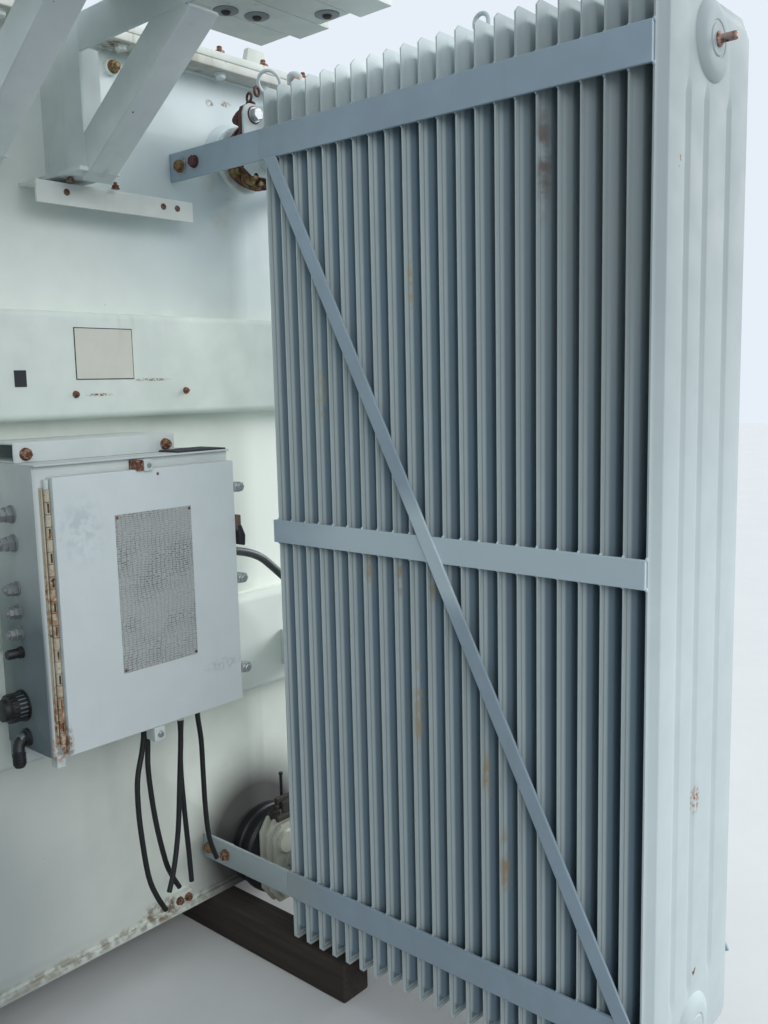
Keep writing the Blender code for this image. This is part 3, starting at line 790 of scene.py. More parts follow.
# Rust that has run down the panels: Y, Z, reach, stretch along Z and colour.
RUST_RUNS: tuple[tuple[float, float, float, float, Colour], ...] = (
    (-1.302, 1.70, 0.012, 0.10, (0.52, 0.38, 0.18)),
    (-1.622, 1.90, 0.024, 0.16, (0.17, 0.12, 0.09)),
    (-1.034, 1.48, 0.018, 0.20, (0.50, 0.44, 0.25)),
    (-1.526, 0.51, 0.020, 0.18, (0.42, 0.28, 0.14)),
    (-1.303, 0.80, 0.018, 0.12, (0.48, 0.38, 0.22)),
    (-1.482, 0.67, 0.018, 0.16, (0.45, 0.30, 0.15)),
    (-1.169, 1.09, 0.014, 0.22, (0.42, 0.33, 0.20)),
    (-1.259, 1.09, 0.013, 0.20, (0.36, 0.26, 0.15)),
    (-1.349, 1.08, 0.013, 0.26, (0.45, 0.36, 0.22)))
# The local marks of each paint: real marks of dirt and rust, and patches of painted light and
# shade.
WALL_STAINS = (
    # Painted shade: the upper wall darker and bluer under the platform.
    Stain((0.20, -0.55, 2.60), 1.30, (0.670, 0.765, 0.795), 1.5, (0.1, 0.2, 1.0), 0.3),
    # Painted shade: the wall darker low down, left of and under the cabinet.
    Stain((-0.30, -0.55, 0.30), 0.80, (0.460, 0.500, 0.480), 1.4, (0.8, 0.2, 1.0), 0.4),
    Stain((0.0, -0.55, 0.118), 0.020, (0.28, 0.25, 0.19), 0.8, (0.01, 0.1, 1.0), 45.0),
    Stain((0.60, -0.57, 0.130), 0.055, (0.20, 0.13, 0.08), 0.9, (0.5, 0.3, 1.4), 70.0),
    # Soot and painted shadow: a dark halo on the wall round the lower valve's black flange.
    Stain((0.93, -0.55, 0.22), 0.30, (0.09, 0.09, 0.085), 1.3, (1.0, 0.2, 1.0), 1.5),
    Stain((0.52, -0.60, 2.306), 0.035, (0.24, 0.18, 0.13), 0.8, (0.10, 0.2, 1.4), 45.0),
    Stain((0.318, -0.55, 2.160), 0.060, (0.74, 0.64, 0.34), 1.5, (1.2, 0.2, 0.8), 25.0),
    Stain((0.90, -0.55, 2.00), 0.10, (0.60, 0.54, 0.42), 0.5, (1.3, 0.2, 0.8), 14.0),
    # Painted light: the wall made paler beside and behind the radiator bank.
    Stain((1.00, -0.55, 1.12), 0.45, (0.960, 0.995, 0.915), 1.6, (1.6, 0.2, 0.7), 0.4),
    Stain((0.878, -0.55, 2.234), 0.020, (0.22, 0.08, 0.05), 1.0, (1.0, 0.2, 1.7), 90.0),
    Stain((0.931, -0.55, 2.242), 0.018, (0.26, 0.07, 0.07), 1.0, (0.7, 0.2, 1.8), 110.0))
BAND_STAINS = (
    # Painted light: the lower band made paler beside and behind the radiator bank.
    Stain((1.00, -0.60, 0.98), 0.42, (0.900, 0.950, 0.890), 1.6, (1.4, 0.2, 0.7), 0.4),
    Stain((0.465, -0.61, 1.494), 0.045, (0.16, 0.05, 0.025), 1.0, (1.0, 0.2, 9.0), 230.0),
    Stain((0.61, -0.61, 1.527), 0.075, (0.20, 0.08, 0.05), 0.9, (1.0, 0.2, 14.0), 260.0))
PANEL_STAINS = (
    # Darker towards the top of the end panel and the panels next to it.
    Stain((0.951, -1.86, 2.30), 1.30, (0.360, 0.410, 0.415), 1.3, (0.2, 2.2, 1.0), 0.3),
    # Painted light: the panels' tops, above the upper strap, made paler.
    Stain((0.951, -1.15, 2.20), 0.50, (0.800, 0.860, 0.855), 1.3, (0.2, 1.0, 6.0), 0.5),
    Stain((0.947, -1.86, 0.680), 0.022, (0.30, 0.12, 0.04), 1.0, (1.0, 0.2, 0.55), 120.0),
    *(Stain((0.765, y, z), reach, colour, 0.8, (1.0, 1.0, thin), 26.0)
      for y, z, reach, thin, colour in RUST_RUNS))
JOINT_STAINS = (
    Stain((0.951, -0.795, 2.245), 0.050, (0.28, 0.15, 0.085), 1.0, (1.0, 1.0, 1.8), 45.0),)
STRAP_STAINS = (
    Stain((0.743, -0.622, 0.258), 0.034, (0.34, 0.12, 0.03), 1.0, (0.2, 1.0, 1.0), 60.0),
    Stain((0.743, -0.60, 2.05), 0.030, (0.20, 0.07, 0.03), 0.9, (0.2, 1.0, 1.0), 90.0),
    Stain((0.743, -0.72, 0.24), 0.34, (0.370, 0.430, 0.440), 2.0, (0.2, 1.0, 1.0), 0.4),
    # Painted light: the middle straps made paler.
    Stain((0.743, -1.45, 1.16), 0.75, (0.560, 0.650, 0.690), 1.6, (0.2, 1.0, 5.0), 0.3))
CABINET_STAINS = (
    # Painted shade: the cabinet's left side made darker.
    Stain((0.172, -0.70, 1.05), 0.40, (0.150, 0.188, 0.203), 2.5, (15.0, 0.8, 0.40), 0.5),
    Stain((0.208, -0.79, 0.762), 0.030, (0.26, 0.12, 0.05), 1.0, (1.0, 0.4, 0.6), 70.0))
DOOR_STAINS = (
    Stain((0.272, -0.812, 1.215), 0.075, (0.46, 0.53, 0.57), 0.55, (1.0, 0.2, 0.8), 60.0),
    Stain((0.30, -0.812, 1.17), 0.035, (0.70, 0.77, 0.79), 0.5, (1.0, 0.2, 0.8), 130.0),
    Stain((0.63, -0.812, 0.845), 0.060, (0.43, 0.50, 0.54), 0.6, (0.8, 0.2, 3.0), 90.0),
    Stain((0.212, -0.800, 0.770), 0.032, (0.28, 0.13, 0.05), 1.0, (2.0, 0.4, 0.6), 80.0))
HINGE_CREAM_STAINS = (
    Stain((0.205, -0.79, 0.78), 0.10, (0.30, 0.12, 0.045), 1.0, (1.0, 0.4, 0.7), 120.0),
    Stain((0.205, -0.79, 1.07), 0.08, (0.34, 0.16, 0.06), 0.8, (1.0, 0.4, 0.6), 120.0))


class Paintshop:
    """Every finish of the transformer, made once when a piece first asks for it."""

    _finishes = {finish.name: finish for finish in (
        PaintFinish("wall_paint", (0.800, 0.840, 0.765), (0.715, 0.755, 0.690),
                    streak_strength=0.30,
                    stains=WALL_STAINS),
        PaintFinish("rim_paint", (0.640, 0.670, 0.620), (0.470, 0.475, 0.430),
                    streak=(0.26, 0.19, 0.12), streak_limits=(0.50, 0.72),
                    streak_strength=0.7, rust_scale=16.0, rust_limits=(0.59, 0.67)),
        PaintFinish("cover_paint", (0.660, 0.695, 0.640), (0.560, 0.590, 0.545),
                    streak=(0.26, 0.19, 0.12), streak_limits=(0.50, 0.78),
                    streak_strength=0.2, rust_scale=16.0, rust_limits=(0.64, 0.72)),
        PaintFinish("band_paint", (0.740, 0.800, 0.745), (0.640, 0.700, 0.650), rust_scale=22.0,
                    rust_limits=(0.735, 0.76),
                    stains=BAND_STAINS),
        PaintFinish("panel_paint", (0.550, 0.622, 0.622), (0.500, 0.570, 0.572),
                    streak=(0.28, 0.20, 0.11), streak_limits=(0.66, 0.78),
                    streak_strength=0.5, rust_limits=(0.745, 0.765), rust_scale=9.0,
                    roughness=0.66,
                    # Painted shade inside each row of panels: the dark bluish colour inside the
                    # row, and the line of shade on each fold.
                    recess=Recess((0.951, 1.3695, 1.0905), (0.200, 0.4745, 0.9845),
                                  (0.0145, 0.0195), (0.215, 0.290, 0.340),
                                  (0.315, 0.365, 0.370)),
                    stains=PANEL_STAINS),
        PaintFinish("joint_paint", (0.660, 0.715, 0.715), (0.560, 0.610, 0.610),
                    rust_scale=24.0, rust_limits=(0.71, 0.74),
                    stains=JOINT_STAINS),
        # Darker and bluer than the panel paint: partly the straps' own paint, partly painted shade
        # on their sides.
        PaintFinish("strap_paint", (0.370, 0.460, 0.535), (0.330, 0.405, 0.465),
                    streak=(0.24, 0.20, 0.15), streak_strength=0.20, rust_scale=24.0,
                    rust_limits=(0.75, 0.77), roughness=0.55,
                    stains=STRAP_STAINS),
        PaintFinish("bracket_paint", (0.700, 0.760, 0.745), (0.600, 0.655, 0.650),
                    rust_scale=20.0, rust_limits=(0.71, 0.74)),
        PaintFinish("platform_paint", (0.800, 0.830, 0.790), (0.700, 0.735, 0.690),
                    rust_scale=16.0, rust_limits=(0.70, 0.735)),
        PaintFinish("cabinet_paint", (0.690, 0.735, 0.715), (0.610, 0.655, 0.640),
                    streak_strength=0.2, rust_scale=24.0, rust_limits=(0.745, 0.765),
                    roughness=0.52,
                    stains=CABINET_STAINS),
        PaintFinish("door_paint", (0.710, 0.765, 0.765), (0.660, 0.715, 0.715),
                    streak_strength=0.12, rust_scale=30.0, rust_limits=(0.76, 0.78),
                    roughness=0.46,
                    stains=DOOR_STAINS),
        PaintFinish("hinge_cream", (0.62, 0.60, 0.50), (0.52, 0.46, 0.34),
                    streak=(0.34, 0.18, 0.08), streak_limits=(0.44, 0.66),
                    streak_strength=0.5, rust_scale=70.0, rust_limits=(0.60, 0.68),
                    roughness=0.6,
                    stains=HINGE_CREAM_STAINS),
        PaintFinish("valve_cream", (0.60, 0.60, 0.52), (0.46, 0.46, 0.38), rust_scale=30.0,
                    rust_limits=(0.64, 0.70), roughness=0.5),
        PaintFinish("label_cream", (0.68, 0.68, 0.60), (0.60, 0.60, 0.52), rust_scale=30.0,
                    rust_limits=(0.80, 0.82), roughness=0.55),
        MetalFinish("zinc", (0.46, 0.48, 0.49), rust_limits=(0.66, 0.72)),
        MetalFinish("rusty_bolt", (0.34, 0.31, 0.28), 0.5, 0.6, (0.36, 0.50), 120.0),
        MetalFinish("old_steel", (0.16, 0.13, 0.12), 0.3, 0.7, (0.40, 0.62), 50.0),
        MetalFinish("dark_red_rust", (0.10, 0.045, 0.045), 0.2, 0.75, (0.44, 0.66), 70.0),
        MetalFinish("gilt_rust", (0.25, 0.185, 0.085), 0.35, 0.5, (0.46, 0.60), 60.0),
        MetalFinish("gland_zinc", (0.28, 0.295, 0.305), 0.6, 0.55, (0.66, 0.72)),
        # Dark rusty steel of the hinge pin, and painted shade in the hinge's gaps.
        MetalFinish("slot_rust", (0.045, 0.035, 0.032), 0.2, 0.8, (0.46, 0.60), 90.0),
        MetalFinish("stud_rust", (0.36, 0.25, 0.22), 0.3, 0.6, (0.50, 0.66), 120.0),
        MetalFinish("terminal_metal", (0.55, 0.56, 0.56), 0.9, 0.32, (0.78, 0.82), 40.0),
        SheathFinish("cable_black", (0.006, 0.0065, 0.008), (0.017, 0.018, 0.020), 0.50),
        SheathFinish("conduit_black", (0.050, 0.058, 0.062), (0.085, 0.094, 0.098), 0.38),
        SheathFinish("flange_black", (0.006, 0.007, 0.011), (0.026, 0.027, 0.031), 0.5),
        SheathFinish("grimy_iron", (0.022, 0.019, 0.017), (0.090, 0.075, 0.062), 0.7),
        SheathFinish("inner_dark", (0.030, 0.033, 0.040), (0.045, 0.048, 0.055), 0.9),
        TimberFinish("old_timber", (0.010, 0.008, 0.007), (0.060, 0.045, 0.034)),
        PlateFinish("engraved_plate", (0.475, 0.495, 0.480), (0.105, 0.11, 0.105)),
        GlazeFinish("brown_glaze", (0.085, 0.030, 0.014), (0.130, 0.060, 0.035)),
    )}

    @classmethod
    @cache
    def get(cls, name: str) -> bpy.types.Material:
        """Return a finish's material by its name."""
        return cls._finishes[name].make()


def fit_piece(obj: bpy.types.Object, finish: str, body: str = BODY) -> None:
    """Paint a finished piece and hang it on its body.

    Args:
        obj: The piece, in its place.
        finish: The name of its finish.
        body: The body that it rides on.
    """
    obj.data.materials.clear()
    obj.data.materials.append(Paintshop.get(finish))
    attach(obj, body)
    LOG.info("%s: %s", obj.name, finish)


def fit_parts(name: str, parts: Sequence[bpy.types.Object], finish: str,
              body: str = BODY) -> None:
    """Join parts into one named piece, paint it and hang it on its body."""
    fit_piece(Bench.joined(name, parts), finish, body)


def fit_corners(pieces: dict[str, tuple[bpy.types.Object, str]], stem: str, main: str) -> None:
    """Copy the front right bank's pieces to all four corners, and remove the models.

    Args:
        pieces: Each piece's model and finish, by the name that its copies start with.
        stem: How the solid's name starts at every corner.
        main: The piece that stands for the solid.
    """
    for corner in Corner:
        node = f"{stem}_{corner.suffix}"
        for name, (source, finish) in pieces.items():
            piece = Bench.copied(source, f"{name}_{corner.suffix}", corner.mirror)
            fit_piece(piece, finish)
            if name == main:
                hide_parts(node)
    for source, _ in pieces.values():
        Bench.discard(source)


class Fastener(Enum):
    """The small hardware that is modelled once and copied."""

    BOLT = "bolt"
    NUT = "nut"
    RIVET = "rivet"
    GLAND = "gland"


class Hardware:
    """Bolts, nuts, rivets and glands, each modelled at a 20 mm size and copied to others."""

    SIZE = 0.020
    WASHER = (18, (0.0130, 0.0), (0.0130, 0.0018), (0.0122, 0.0025))
    HEAD = (6, (0.0108, 0.0020), (0.0115, 0.0028), (0.0115, 0.0096), (0.0098, 0.0110))
    # Each turned part's number of sides and its rings, by radius and height.
    SHAPES = {
        Fastener.BOLT: (WASHER, HEAD),
        Fastener.NUT: (WASHER, HEAD, (12, (0.0058, 0.0100), (0.0058, 0.0185), (0.0048, 0.0200))),
        Fastener.RIVET: ((14, (0.0100, 0.0), (0.0097, 0.0022), (0.0080, 0.0046),
                          (0.0040, 0.0062)),),
        Fastener.GLAND: (WASHER,
                         (6, (0.0112, 0.0020), (0.0118, 0.0030), (0.0118, 0.0105),
                          (0.0108, 0.0115)),
                         (16, (0.0088, 0.0110), (0.0088, 0.0132)),
                         (6, (0.0098, 0.0130), (0.0104, 0.0138), (0.0104, 0.0190),
                          (0.0086, 0.0208)),
                         (14, (0.0058, 0.0200), (0.0058, 0.0238), (0.0048, 0.0246))),
    }
    _stock: dict[Fastener, bpy.types.Object] = {}

    @classmethod
    def _model(cls, kind: Fastener) -> bpy.types.Object:
        """Build one fastener that stands on the ground plane at the origin."""
        parts = [Bench.turned(kind.value, rings, (0.0, 0.0, 0.0), Axis.Z, sides)
                 for sides, *rings in cls.SHAPES[kind]]
        return Bench.joined(kind.value, parts)

    @classmethod
    def at(cls, kind: Fastener, place: Point, axis: Axis, size: float,
           turn: float = 0.0) -> bpy.types.Object:
        """Copy a fastener to a place.

        Args:
            kind: Which fastener.
            place: The point of the surface that it sits on.
            axis: The direction in which its head points.
            size: Its size across, in metres.
            turn: How far it is turned round its axis, in degrees.

        Returns:
            The copy.
        """
        if kind not in cls._stock:
            cls._stock[kind] = cls._model(kind)
        matrix = (Matrix.Translation(place) @ axis.turn
                  @ Matrix.Rotation(math.radians(turn), 4, "Z")
                  @ Matrix.Scale(size / cls.SIZE, 4))
        return Bench.copied(cls._stock[kind], kind.value, matrix)

    @classmethod
    def put_away(cls) -> None:
        """Remove the models that the copies were made from."""
        for obj in cls._stock.values():
            Bench.discard(obj)
        cls._stock.clear()


@dataclass
class Wiring:
    """The five loose cable tails under the cabinet and the conduit beside it."""

    cable_y: float = -0.700
    tail_radius: float = 0.0065
    conduit_radius: float = 0.011
    screw_inset: float = 0.012
    screw_rise: float = 0.088
    screw_size: float = 0.010
    tails: dict[str, tuple[float, tuple[Pair, ...]]] = field(default_factory=lambda: {
        "cable_tail_1": (-0.016, ((0.459, 0.7067), (0.459, 0.690), (0.452, 0.655),
                                  (0.436, 0.595), (0.433, 0.530), (0.437, 0.455),
                                  (0.450, 0.345), (0.470, 0.285), (0.494, 0.238))),
        "cable_tail_2": (0.010, ((0.487, 0.7067), (0.487, 0.660), (0.484, 0.590),
                                 (0.496, 0.465), (0.518, 0.350), (0.536, 0.300),
                                 (0.556, 0.262))),
        "cable_tail_3": (-0.025, ((0.558, 0.7067), (0.558, 0.660), (0.549, 0.560),
                                  (0.536, 0.430), (0.517, 0.335), (0.500, 0.285))),
        "cable_tail_4": (0.010, ((0.588, 0.7067), (0.588, 0.690), (0.583, 0.640),
                                 (0.579, 0.560), (0.584, 0.440), (0.590, 0.345),
                                 (0.594, 0.262))),
        "cable_tail_5": (-0.012, ((0.622, 0.7067), (0.622, 0.690), (0.629, 0.630),
                                  (0.630, 0.560), (0.632, 0.445), (0.640, 0.365),
                                  (0.660, 0.305))),
    })
    conduit: tuple[Pair, ...] = (
        (0.7113, 1.092), (0.745, 1.092), (0.785, 1.086), (0.830, 1.073), (0.866, 1.055),
        (0.900, 1.028), (0.936, 0.997), (0.972, 0.967), (1.008, 0.937), (1.024, 0.920),
        (1.036, 0.900), (1.043, 0.878), (1.043, 0.8603))

    def _route(self, offset: float, points: Sequence[Pair], steps: int = 4) -> list[Vector]:
        """Return a smooth route through chosen points, with more points between them.

        Args:
            offset: How far in Y the route lies from the cables' common plane.
            points: X and Z of each chosen point.
            steps: Into how many steps each stretch between two points is cut.

        Returns:
            Every point of the route.
        """
        places = [Vector((x, self.cable_y + offset, z)) for x, z in points]
        route = []
        for i in range(len(places) - 1):
            before = places[max(i - 1, 0)]
            here, there = places[i], places[i + 1]
            after = places[min(i + 2, len(places) - 1)]
            for step in range(steps):
                t = step / steps
                route.append(0.5 * ((2 * here) + (there - before) * t
                                    + (2 * before - 5 * here + 4 * there - after) * t * t
                                    + (3 * here - before - 3 * there + after) * t ** 3))
        route.append(places[-1])
        return route

    def build_tails(self) -> None:
        """Hang the cable tails."""
        for node, (offset, points) in self.tails.items():
            route = self._route(offset, points)
            obj = Bench.curve(node.replace("cable", "loose"), route, self.tail_radius)
            fit_piece(obj, "cable_black")
            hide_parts(node)

    def build_conduit(self) -> None:
        """Lay the conduit from the cabinet to its junction box."""
        obj = Bench.curve("conduit_hose", self._route(0.0, self.conduit),
                          self.conduit_radius)
        fit_piece(obj, "conduit_black")
        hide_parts("conduit")
        box = Bench.softened("junction_box", "junction_box_shell", 0.004, 3)
        fit_piece(box, "cabinet_paint")
        low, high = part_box("junction_box")
        screws = [Hardware.at(Fastener.BOLT, (x, low.y, z), Axis.NEG_Y, self.screw_size)
                  for x in (low.x + self.screw_inset, high.x - self.screw_inset)
                  for z in (low.z + self.screw_inset, low.z + self.screw_rise)]
        fit_parts("junction_box_screws", screws, "zinc")


@dataclass
class RadiatorBanks:
    """Four banks of fluted panels with headers, straps, diagonals, bosses and lifting rings."""

    left: float = 0.751
    width: float = 0.400
    low: float = 0.106
    top: float = 2.177
    first: float = -0.897
    pitch: float = 0.045
    count: int = 22
    corner: float = 0.030
    seam: float = 0.0034
    inner_corner: float = 0.011
    margin: float = 0.011
    shoulder: float = 0.0160
    flank: float = 0.0130
    relief: float = 0.0130
    valley_relief: float = 0.0075
    valleys: tuple[float, ...] = (0.103, 0.180, 0.282)
    collector: float = 0.160
    header_radius: float = 0.038
    header_heights: Pair = (0.190, 2.095)
    strap_thickness: float = 0.008
    straps: tuple[Pair, ...] = ((2.017, 2.085), (1.133, 1.187), (0.225, 0.291))
    diagonal: tuple[Pair, ...] = ((-0.908, 2.045), (-1.836, 0.245))
    diagonal_width: float = 0.032
    bead_out: float = 0.001
    bead_half: Point = (0.0042, 0.0030, 0.0045)
    edge_rounding: float = 0.0028
    boss_radius: float = 0.072
    boss_out: float = 0.0130
    stud_radius: float = 0.008
    stud_out: float = 0.060
    stud_turns: int = 12
    ring_y: float = -1.358
    ring_top: float = 2.272
    ring_radius: float = 0.018
    ring_wire: float = 0.0048
    gap: float = 0.0003

    @property
    def middle(self) -> float:
        """Return the X of the headers."""
        return self.left + self.width / 2

    @property
    def last(self) -> float:
        """Return the Y of the end panel."""
        return self.first - self.pitch * (self.count - 1)

    def _rows(self) -> list[float]:
        """Return the Y of each panel."""
        return [self.first - i * self.pitch for i in range(self.count)]

    def _valleys(self) -> list[float]:
        """Return the X of each valley between two flutes."""
        return [self.left + offset for offset in self.valleys]

    def _reach(self, place: Vector) -> float:
        """Return how far a place lies inside the outline with its cut corners."""
        across = self.width / 2 - abs(place.x - self.middle)
        up = (self.top - self.low) / 2 - abs(place.z - (self.top + self.low) / 2)
        corner = self.corner if place.x > self.middle else self.inner_corner
        slanted = (across + up - corner) / math.sqrt(2)
        return min(across, up, slanted)

    @staticmethod
    def _cut(point: Point, normal: Point, clear: bool = False) -> None:
        """Cut all of the mesh in edit mode by a plane."""
        bpy.ops.mesh.select_all(action="SELECT")
        bpy.ops.mesh.bisect(plane_co=point, plane_no=normal, clear_outer=clear)

    def _panel(self) -> bpy.types.Object:
        """Press one fluted panel out of a flat sheet.

        Returns:
            A closed panel whose middle plane lies at y = 0.
        """
        Bench.clear()
        half_height = (self.top - self.low) / 2
        centre = Vector((self.middle, 0, (self.top + self.low) / 2))
        bpy.ops.mesh.primitive_plane_add(size=1.0, location=centre,
                                         rotation=(math.radians(90), 0, 0))
        obj = bpy.context.object
        obj.scale = (self.width, 2 * half_height, 1)
        Bench.settle(obj)
        bpy.ops.object.mode_set(mode="EDIT")
        edge = self.margin + self.shoulder
        for side in (-1, 1):
            for inset in (self.margin, edge):
                x = self.middle + side * (self.width / 2 - inset)
                z = centre.z + side * (half_height - inset)
                self._cut((x, 0, 0), (1, 0, 0))
                self._cut((0, 0, z), (0, 0, 1))
            for inset in (self.collector, self.collector + 2 * self.flank):
                self._cut((0, 0, centre.z + side * (half_height - inset)), (0, 0, 1))
        for valley in self._valleys():
            for shift in (-self.flank, 0.0, self.flank):
                self._cut((valley + shift, 0, 0), (1, 0, 0))
        for sx in (-1, 1):
            for sz in (-1, 1):
                for inset in (0.0, self.margin, edge):
                    corner = self.corner if sx > 0 else self.inner_corner
                    lost = corner / 2 + inset / math.sqrt(2)
                    point = (self.middle + sx * (self.width / 2 - lost), 0,
                             centre.z + sz * (half_height - lost))
                    self._cut(point, (sx, 0, sz), clear=inset == 0.0)
        bpy.ops.object.mode_set(mode="OBJECT")

        def is_crown(place: Vector) -> bool:
            """Tell whether a face stands out from the sheet."""
            if self._reach(place) < edge:
                return False
            near_valley = any(abs(place.x - v) < self.flank for v in self._valleys())
            from_end = half_height - abs(place.z - centre.z)
            return not near_valley or from_end < self.collector

        def is_valley(place: Vector) -> bool:
            """Tell whether a vertex lies in the floor of a valley between two flutes."""
            from_end = half_height - abs(place.z - centre.z)
            return (any(abs(place.x - v) < 0.0005 for v in self._valleys())
                    and from_end > self.collector + self.flank)

        Bench.choose(obj, "FACE", is_crown)
        bpy.ops.transform.translate(value=(0, -self.relief, 0))
        Bench.choose(obj, "VERT", is_valley)
        bpy.ops.transform.translate(value=(0, -self.valley_relief, 0))
        bpy.ops.mesh.select_mode(type="EDGE")
        bpy.ops.mesh.select_all(action="DESELECT")
        bpy.ops.mesh.edges_select_sharp(sharpness=math.radians(18))
        bpy.ops.mesh.bevel(offset=self.edge_rounding, segments=2, affect="EDGES",
                           clamp_overlap=True)
        bpy.ops.mesh.select_all(action="SELECT")
        bpy.ops.transform.translate(value=(0, -self.seam / 2, 0))
        bpy.ops.mesh.select_all(action="DESELECT")
        bpy.ops.mesh.select_non_manifold(extend=False, use_wire=False, use_boundary=True,
                                         use_multi_face=False, use_non_contiguous=False,
                                         use_verts=False)
        bpy.ops.mesh.extrude_region_move(TRANSFORM_OT_translate={"value": (0, self.seam / 2, 0)})
        bpy.ops.object.mode_set(mode="OBJECT")
        mirror = obj.modifiers.new("back", "MIRROR")
        mirror.use_axis = (False, True, False)
        mirror.merge_threshold = 0.0001
        bpy.ops.object.modifier_apply(modifier=mirror.name)
        with Bench.editing(obj):
            bpy.ops.mesh.remove_doubles(threshold=0.00005)
            bpy.ops.mesh.normals_make_consistent(inside=False)
        return Bench.smoothed(obj, 40)

    def _weld_beads(self) -> list[bpy.types.Object]:
        """Lay a small bead over and under each strap at each panel, on both sides."""
        Bench.clear()
        bpy.ops.mesh.primitive_ico_sphere_add(subdivisions=2, radius=1.0)
        bead = bpy.context.object
        bpy.ops.object.shade_smooth()
        sides = (self.left - self.bead_out, self.left + self.width + self.bead_out)
        places = [(x, y, z) for y in self._rows() for edges in self.straps for z in edges
                  for x in sides]
        beads = [Bench.copied(bead, "bead", Matrix.Translation(place)
                              @ Matrix.Diagonal((*self.bead_half, 1.0))) for place in places]
        Bench.discard(bead)
        return beads

    def _lifting_ring(self) -> list[bpy.types.Object]:
        """Bend a ring of round bar that stands on a foot above the panels."""
        centre = self.ring_top - self.ring_radius - self.ring_wire
        ring = Bench.ring((self.middle, self.ring_y, centre), self.ring_radius, self.ring_wire,
                          (0, 90, 0))
        foot = Bench.block("ring_foot",
                           (self.middle - 0.005, self.ring_y - 0.016, self.top - 0.016),
                           (self.middle + 0.005, self.ring_y + 0.016,
                            centre - self.ring_radius + 0.002), 0.002)
        return [ring, foot]

    def _bosses(self) -> bpy.types.Object:
        """Turn the low conical bosses of the end panel and add the lifting ring."""
        face = self.last - self.relief
        radius, out = self.boss_radius, self.boss_out
        parts = [Bench.turned("boss", [
            (radius, -0.004), (radius, 0.001), (radius - 0.003, 0.005),
            (radius - 0.017, out - 0.002), (radius - 0.022, out), (0.034, out),
            (0.032, out - 0.0015), (0.029, out - 0.0015), (0.027, out + 0.0005),
            (0.010, out + 0.0005)], (self.middle, face, z), Axis.NEG_Y, 40)
            for z in self.header_heights]
        return Bench.joined("bank_bosses", parts + self._lifting_ring())

    def _frame(self) -> bpy.types.Object:
        """Build the welded steel round one bank: headers, straps and diagonals."""
        right = self.left + self.width
        inner = self.left - self.strap_thickness - self.gap
        outer = right + self.gap
        parts = []
        pipe = [(self.header_radius, 0.0), (self.header_radius, self.first - self.last)]
        for z in self.header_heights:
            parts.append(Bench.turned("header", pipe, (self.middle, self.last, z), Axis.Y, 24))
        for z0, z1 in self.straps:
            for x in (inner, outer):
                parts.append(Bench.block("strap", (x, self.last, z0),
                                         (x + self.strap_thickness, self.first + 0.012, z1),
                                         0.0012))
        (y0, z0), (y1, z1) = self.diagonal
        along = Vector((y1 - y0, z1 - z0)).normalized()
        side = Vector((-along.y, along.x)) * self.diagonal_width / 2
        top = self.straps[0][0] - 0.0005
        outline = [(y0 + s * side.x + (top - z0 - s * side.y) * along.x / along.y, top)
                   for s in (1, -1)]
        outline += [(y1 - side.x, z1 - side.y), (y1 + side.x, z1 + side.y)]
        for x in (inner - 0.006, outer + self.strap_thickness):
            parts.append(Bench.slab("diagonal", outline, Axis.X, x, x + 0.006, 0.0010))
        parts += self._weld_beads()
        return Bench.joined("bank_frame", parts)

    def _stud(self) -> bpy.types.Object:
        """Build the threaded stud that sticks out of the upper boss, with its collar."""
        place = (self.middle, self.last - self.relief, self.header_heights[1])
        rings = [(self.stud_radius, 0.0)]
        start, end = self.boss_out, self.stud_out - self.relief
        for i in range(self.stud_turns):
            z = start + 0.008 + (end - start - 0.012) * i / self.stud_turns
            rings += [(self.stud_radius, z), (self.stud_radius - 0.0009, z + 0.0016)]
        rings += [(self.stud_radius, end - 0.003), (self.stud_radius - 0.002, end)]
        stud = Bench.turned("stud", rings, place, Axis.NEG_Y, 14)
        collar = Bench.turned("collar", [(0.0135, start), (0.0135, start + 0.003),
                                         (0.0100, start + 0.006)], place, Axis.NEG_Y, 18)
        return Bench.joined("bank_stud", [stud, collar])

    def build(self) -> None:
        """Build the front right bank and copy it to the other three corners."""
        panel = self._panel()
        row = [Bench.copied(panel, "panel", Matrix.Translation((0, y, 0)))
               for y in self._rows()]
        Bench.discard(panel)
        panels = Bench.joined("panels", row)
        fit_corners({"panels": (panels, "panel_paint"),
                     "bank_frame": (self._frame(), "strap_paint"),
                     "bank_bosses": (self._bosses(), "panel_paint"),
                     "bank_stud": (self._stud(), "stud_rust")}, "radiator", "panels")


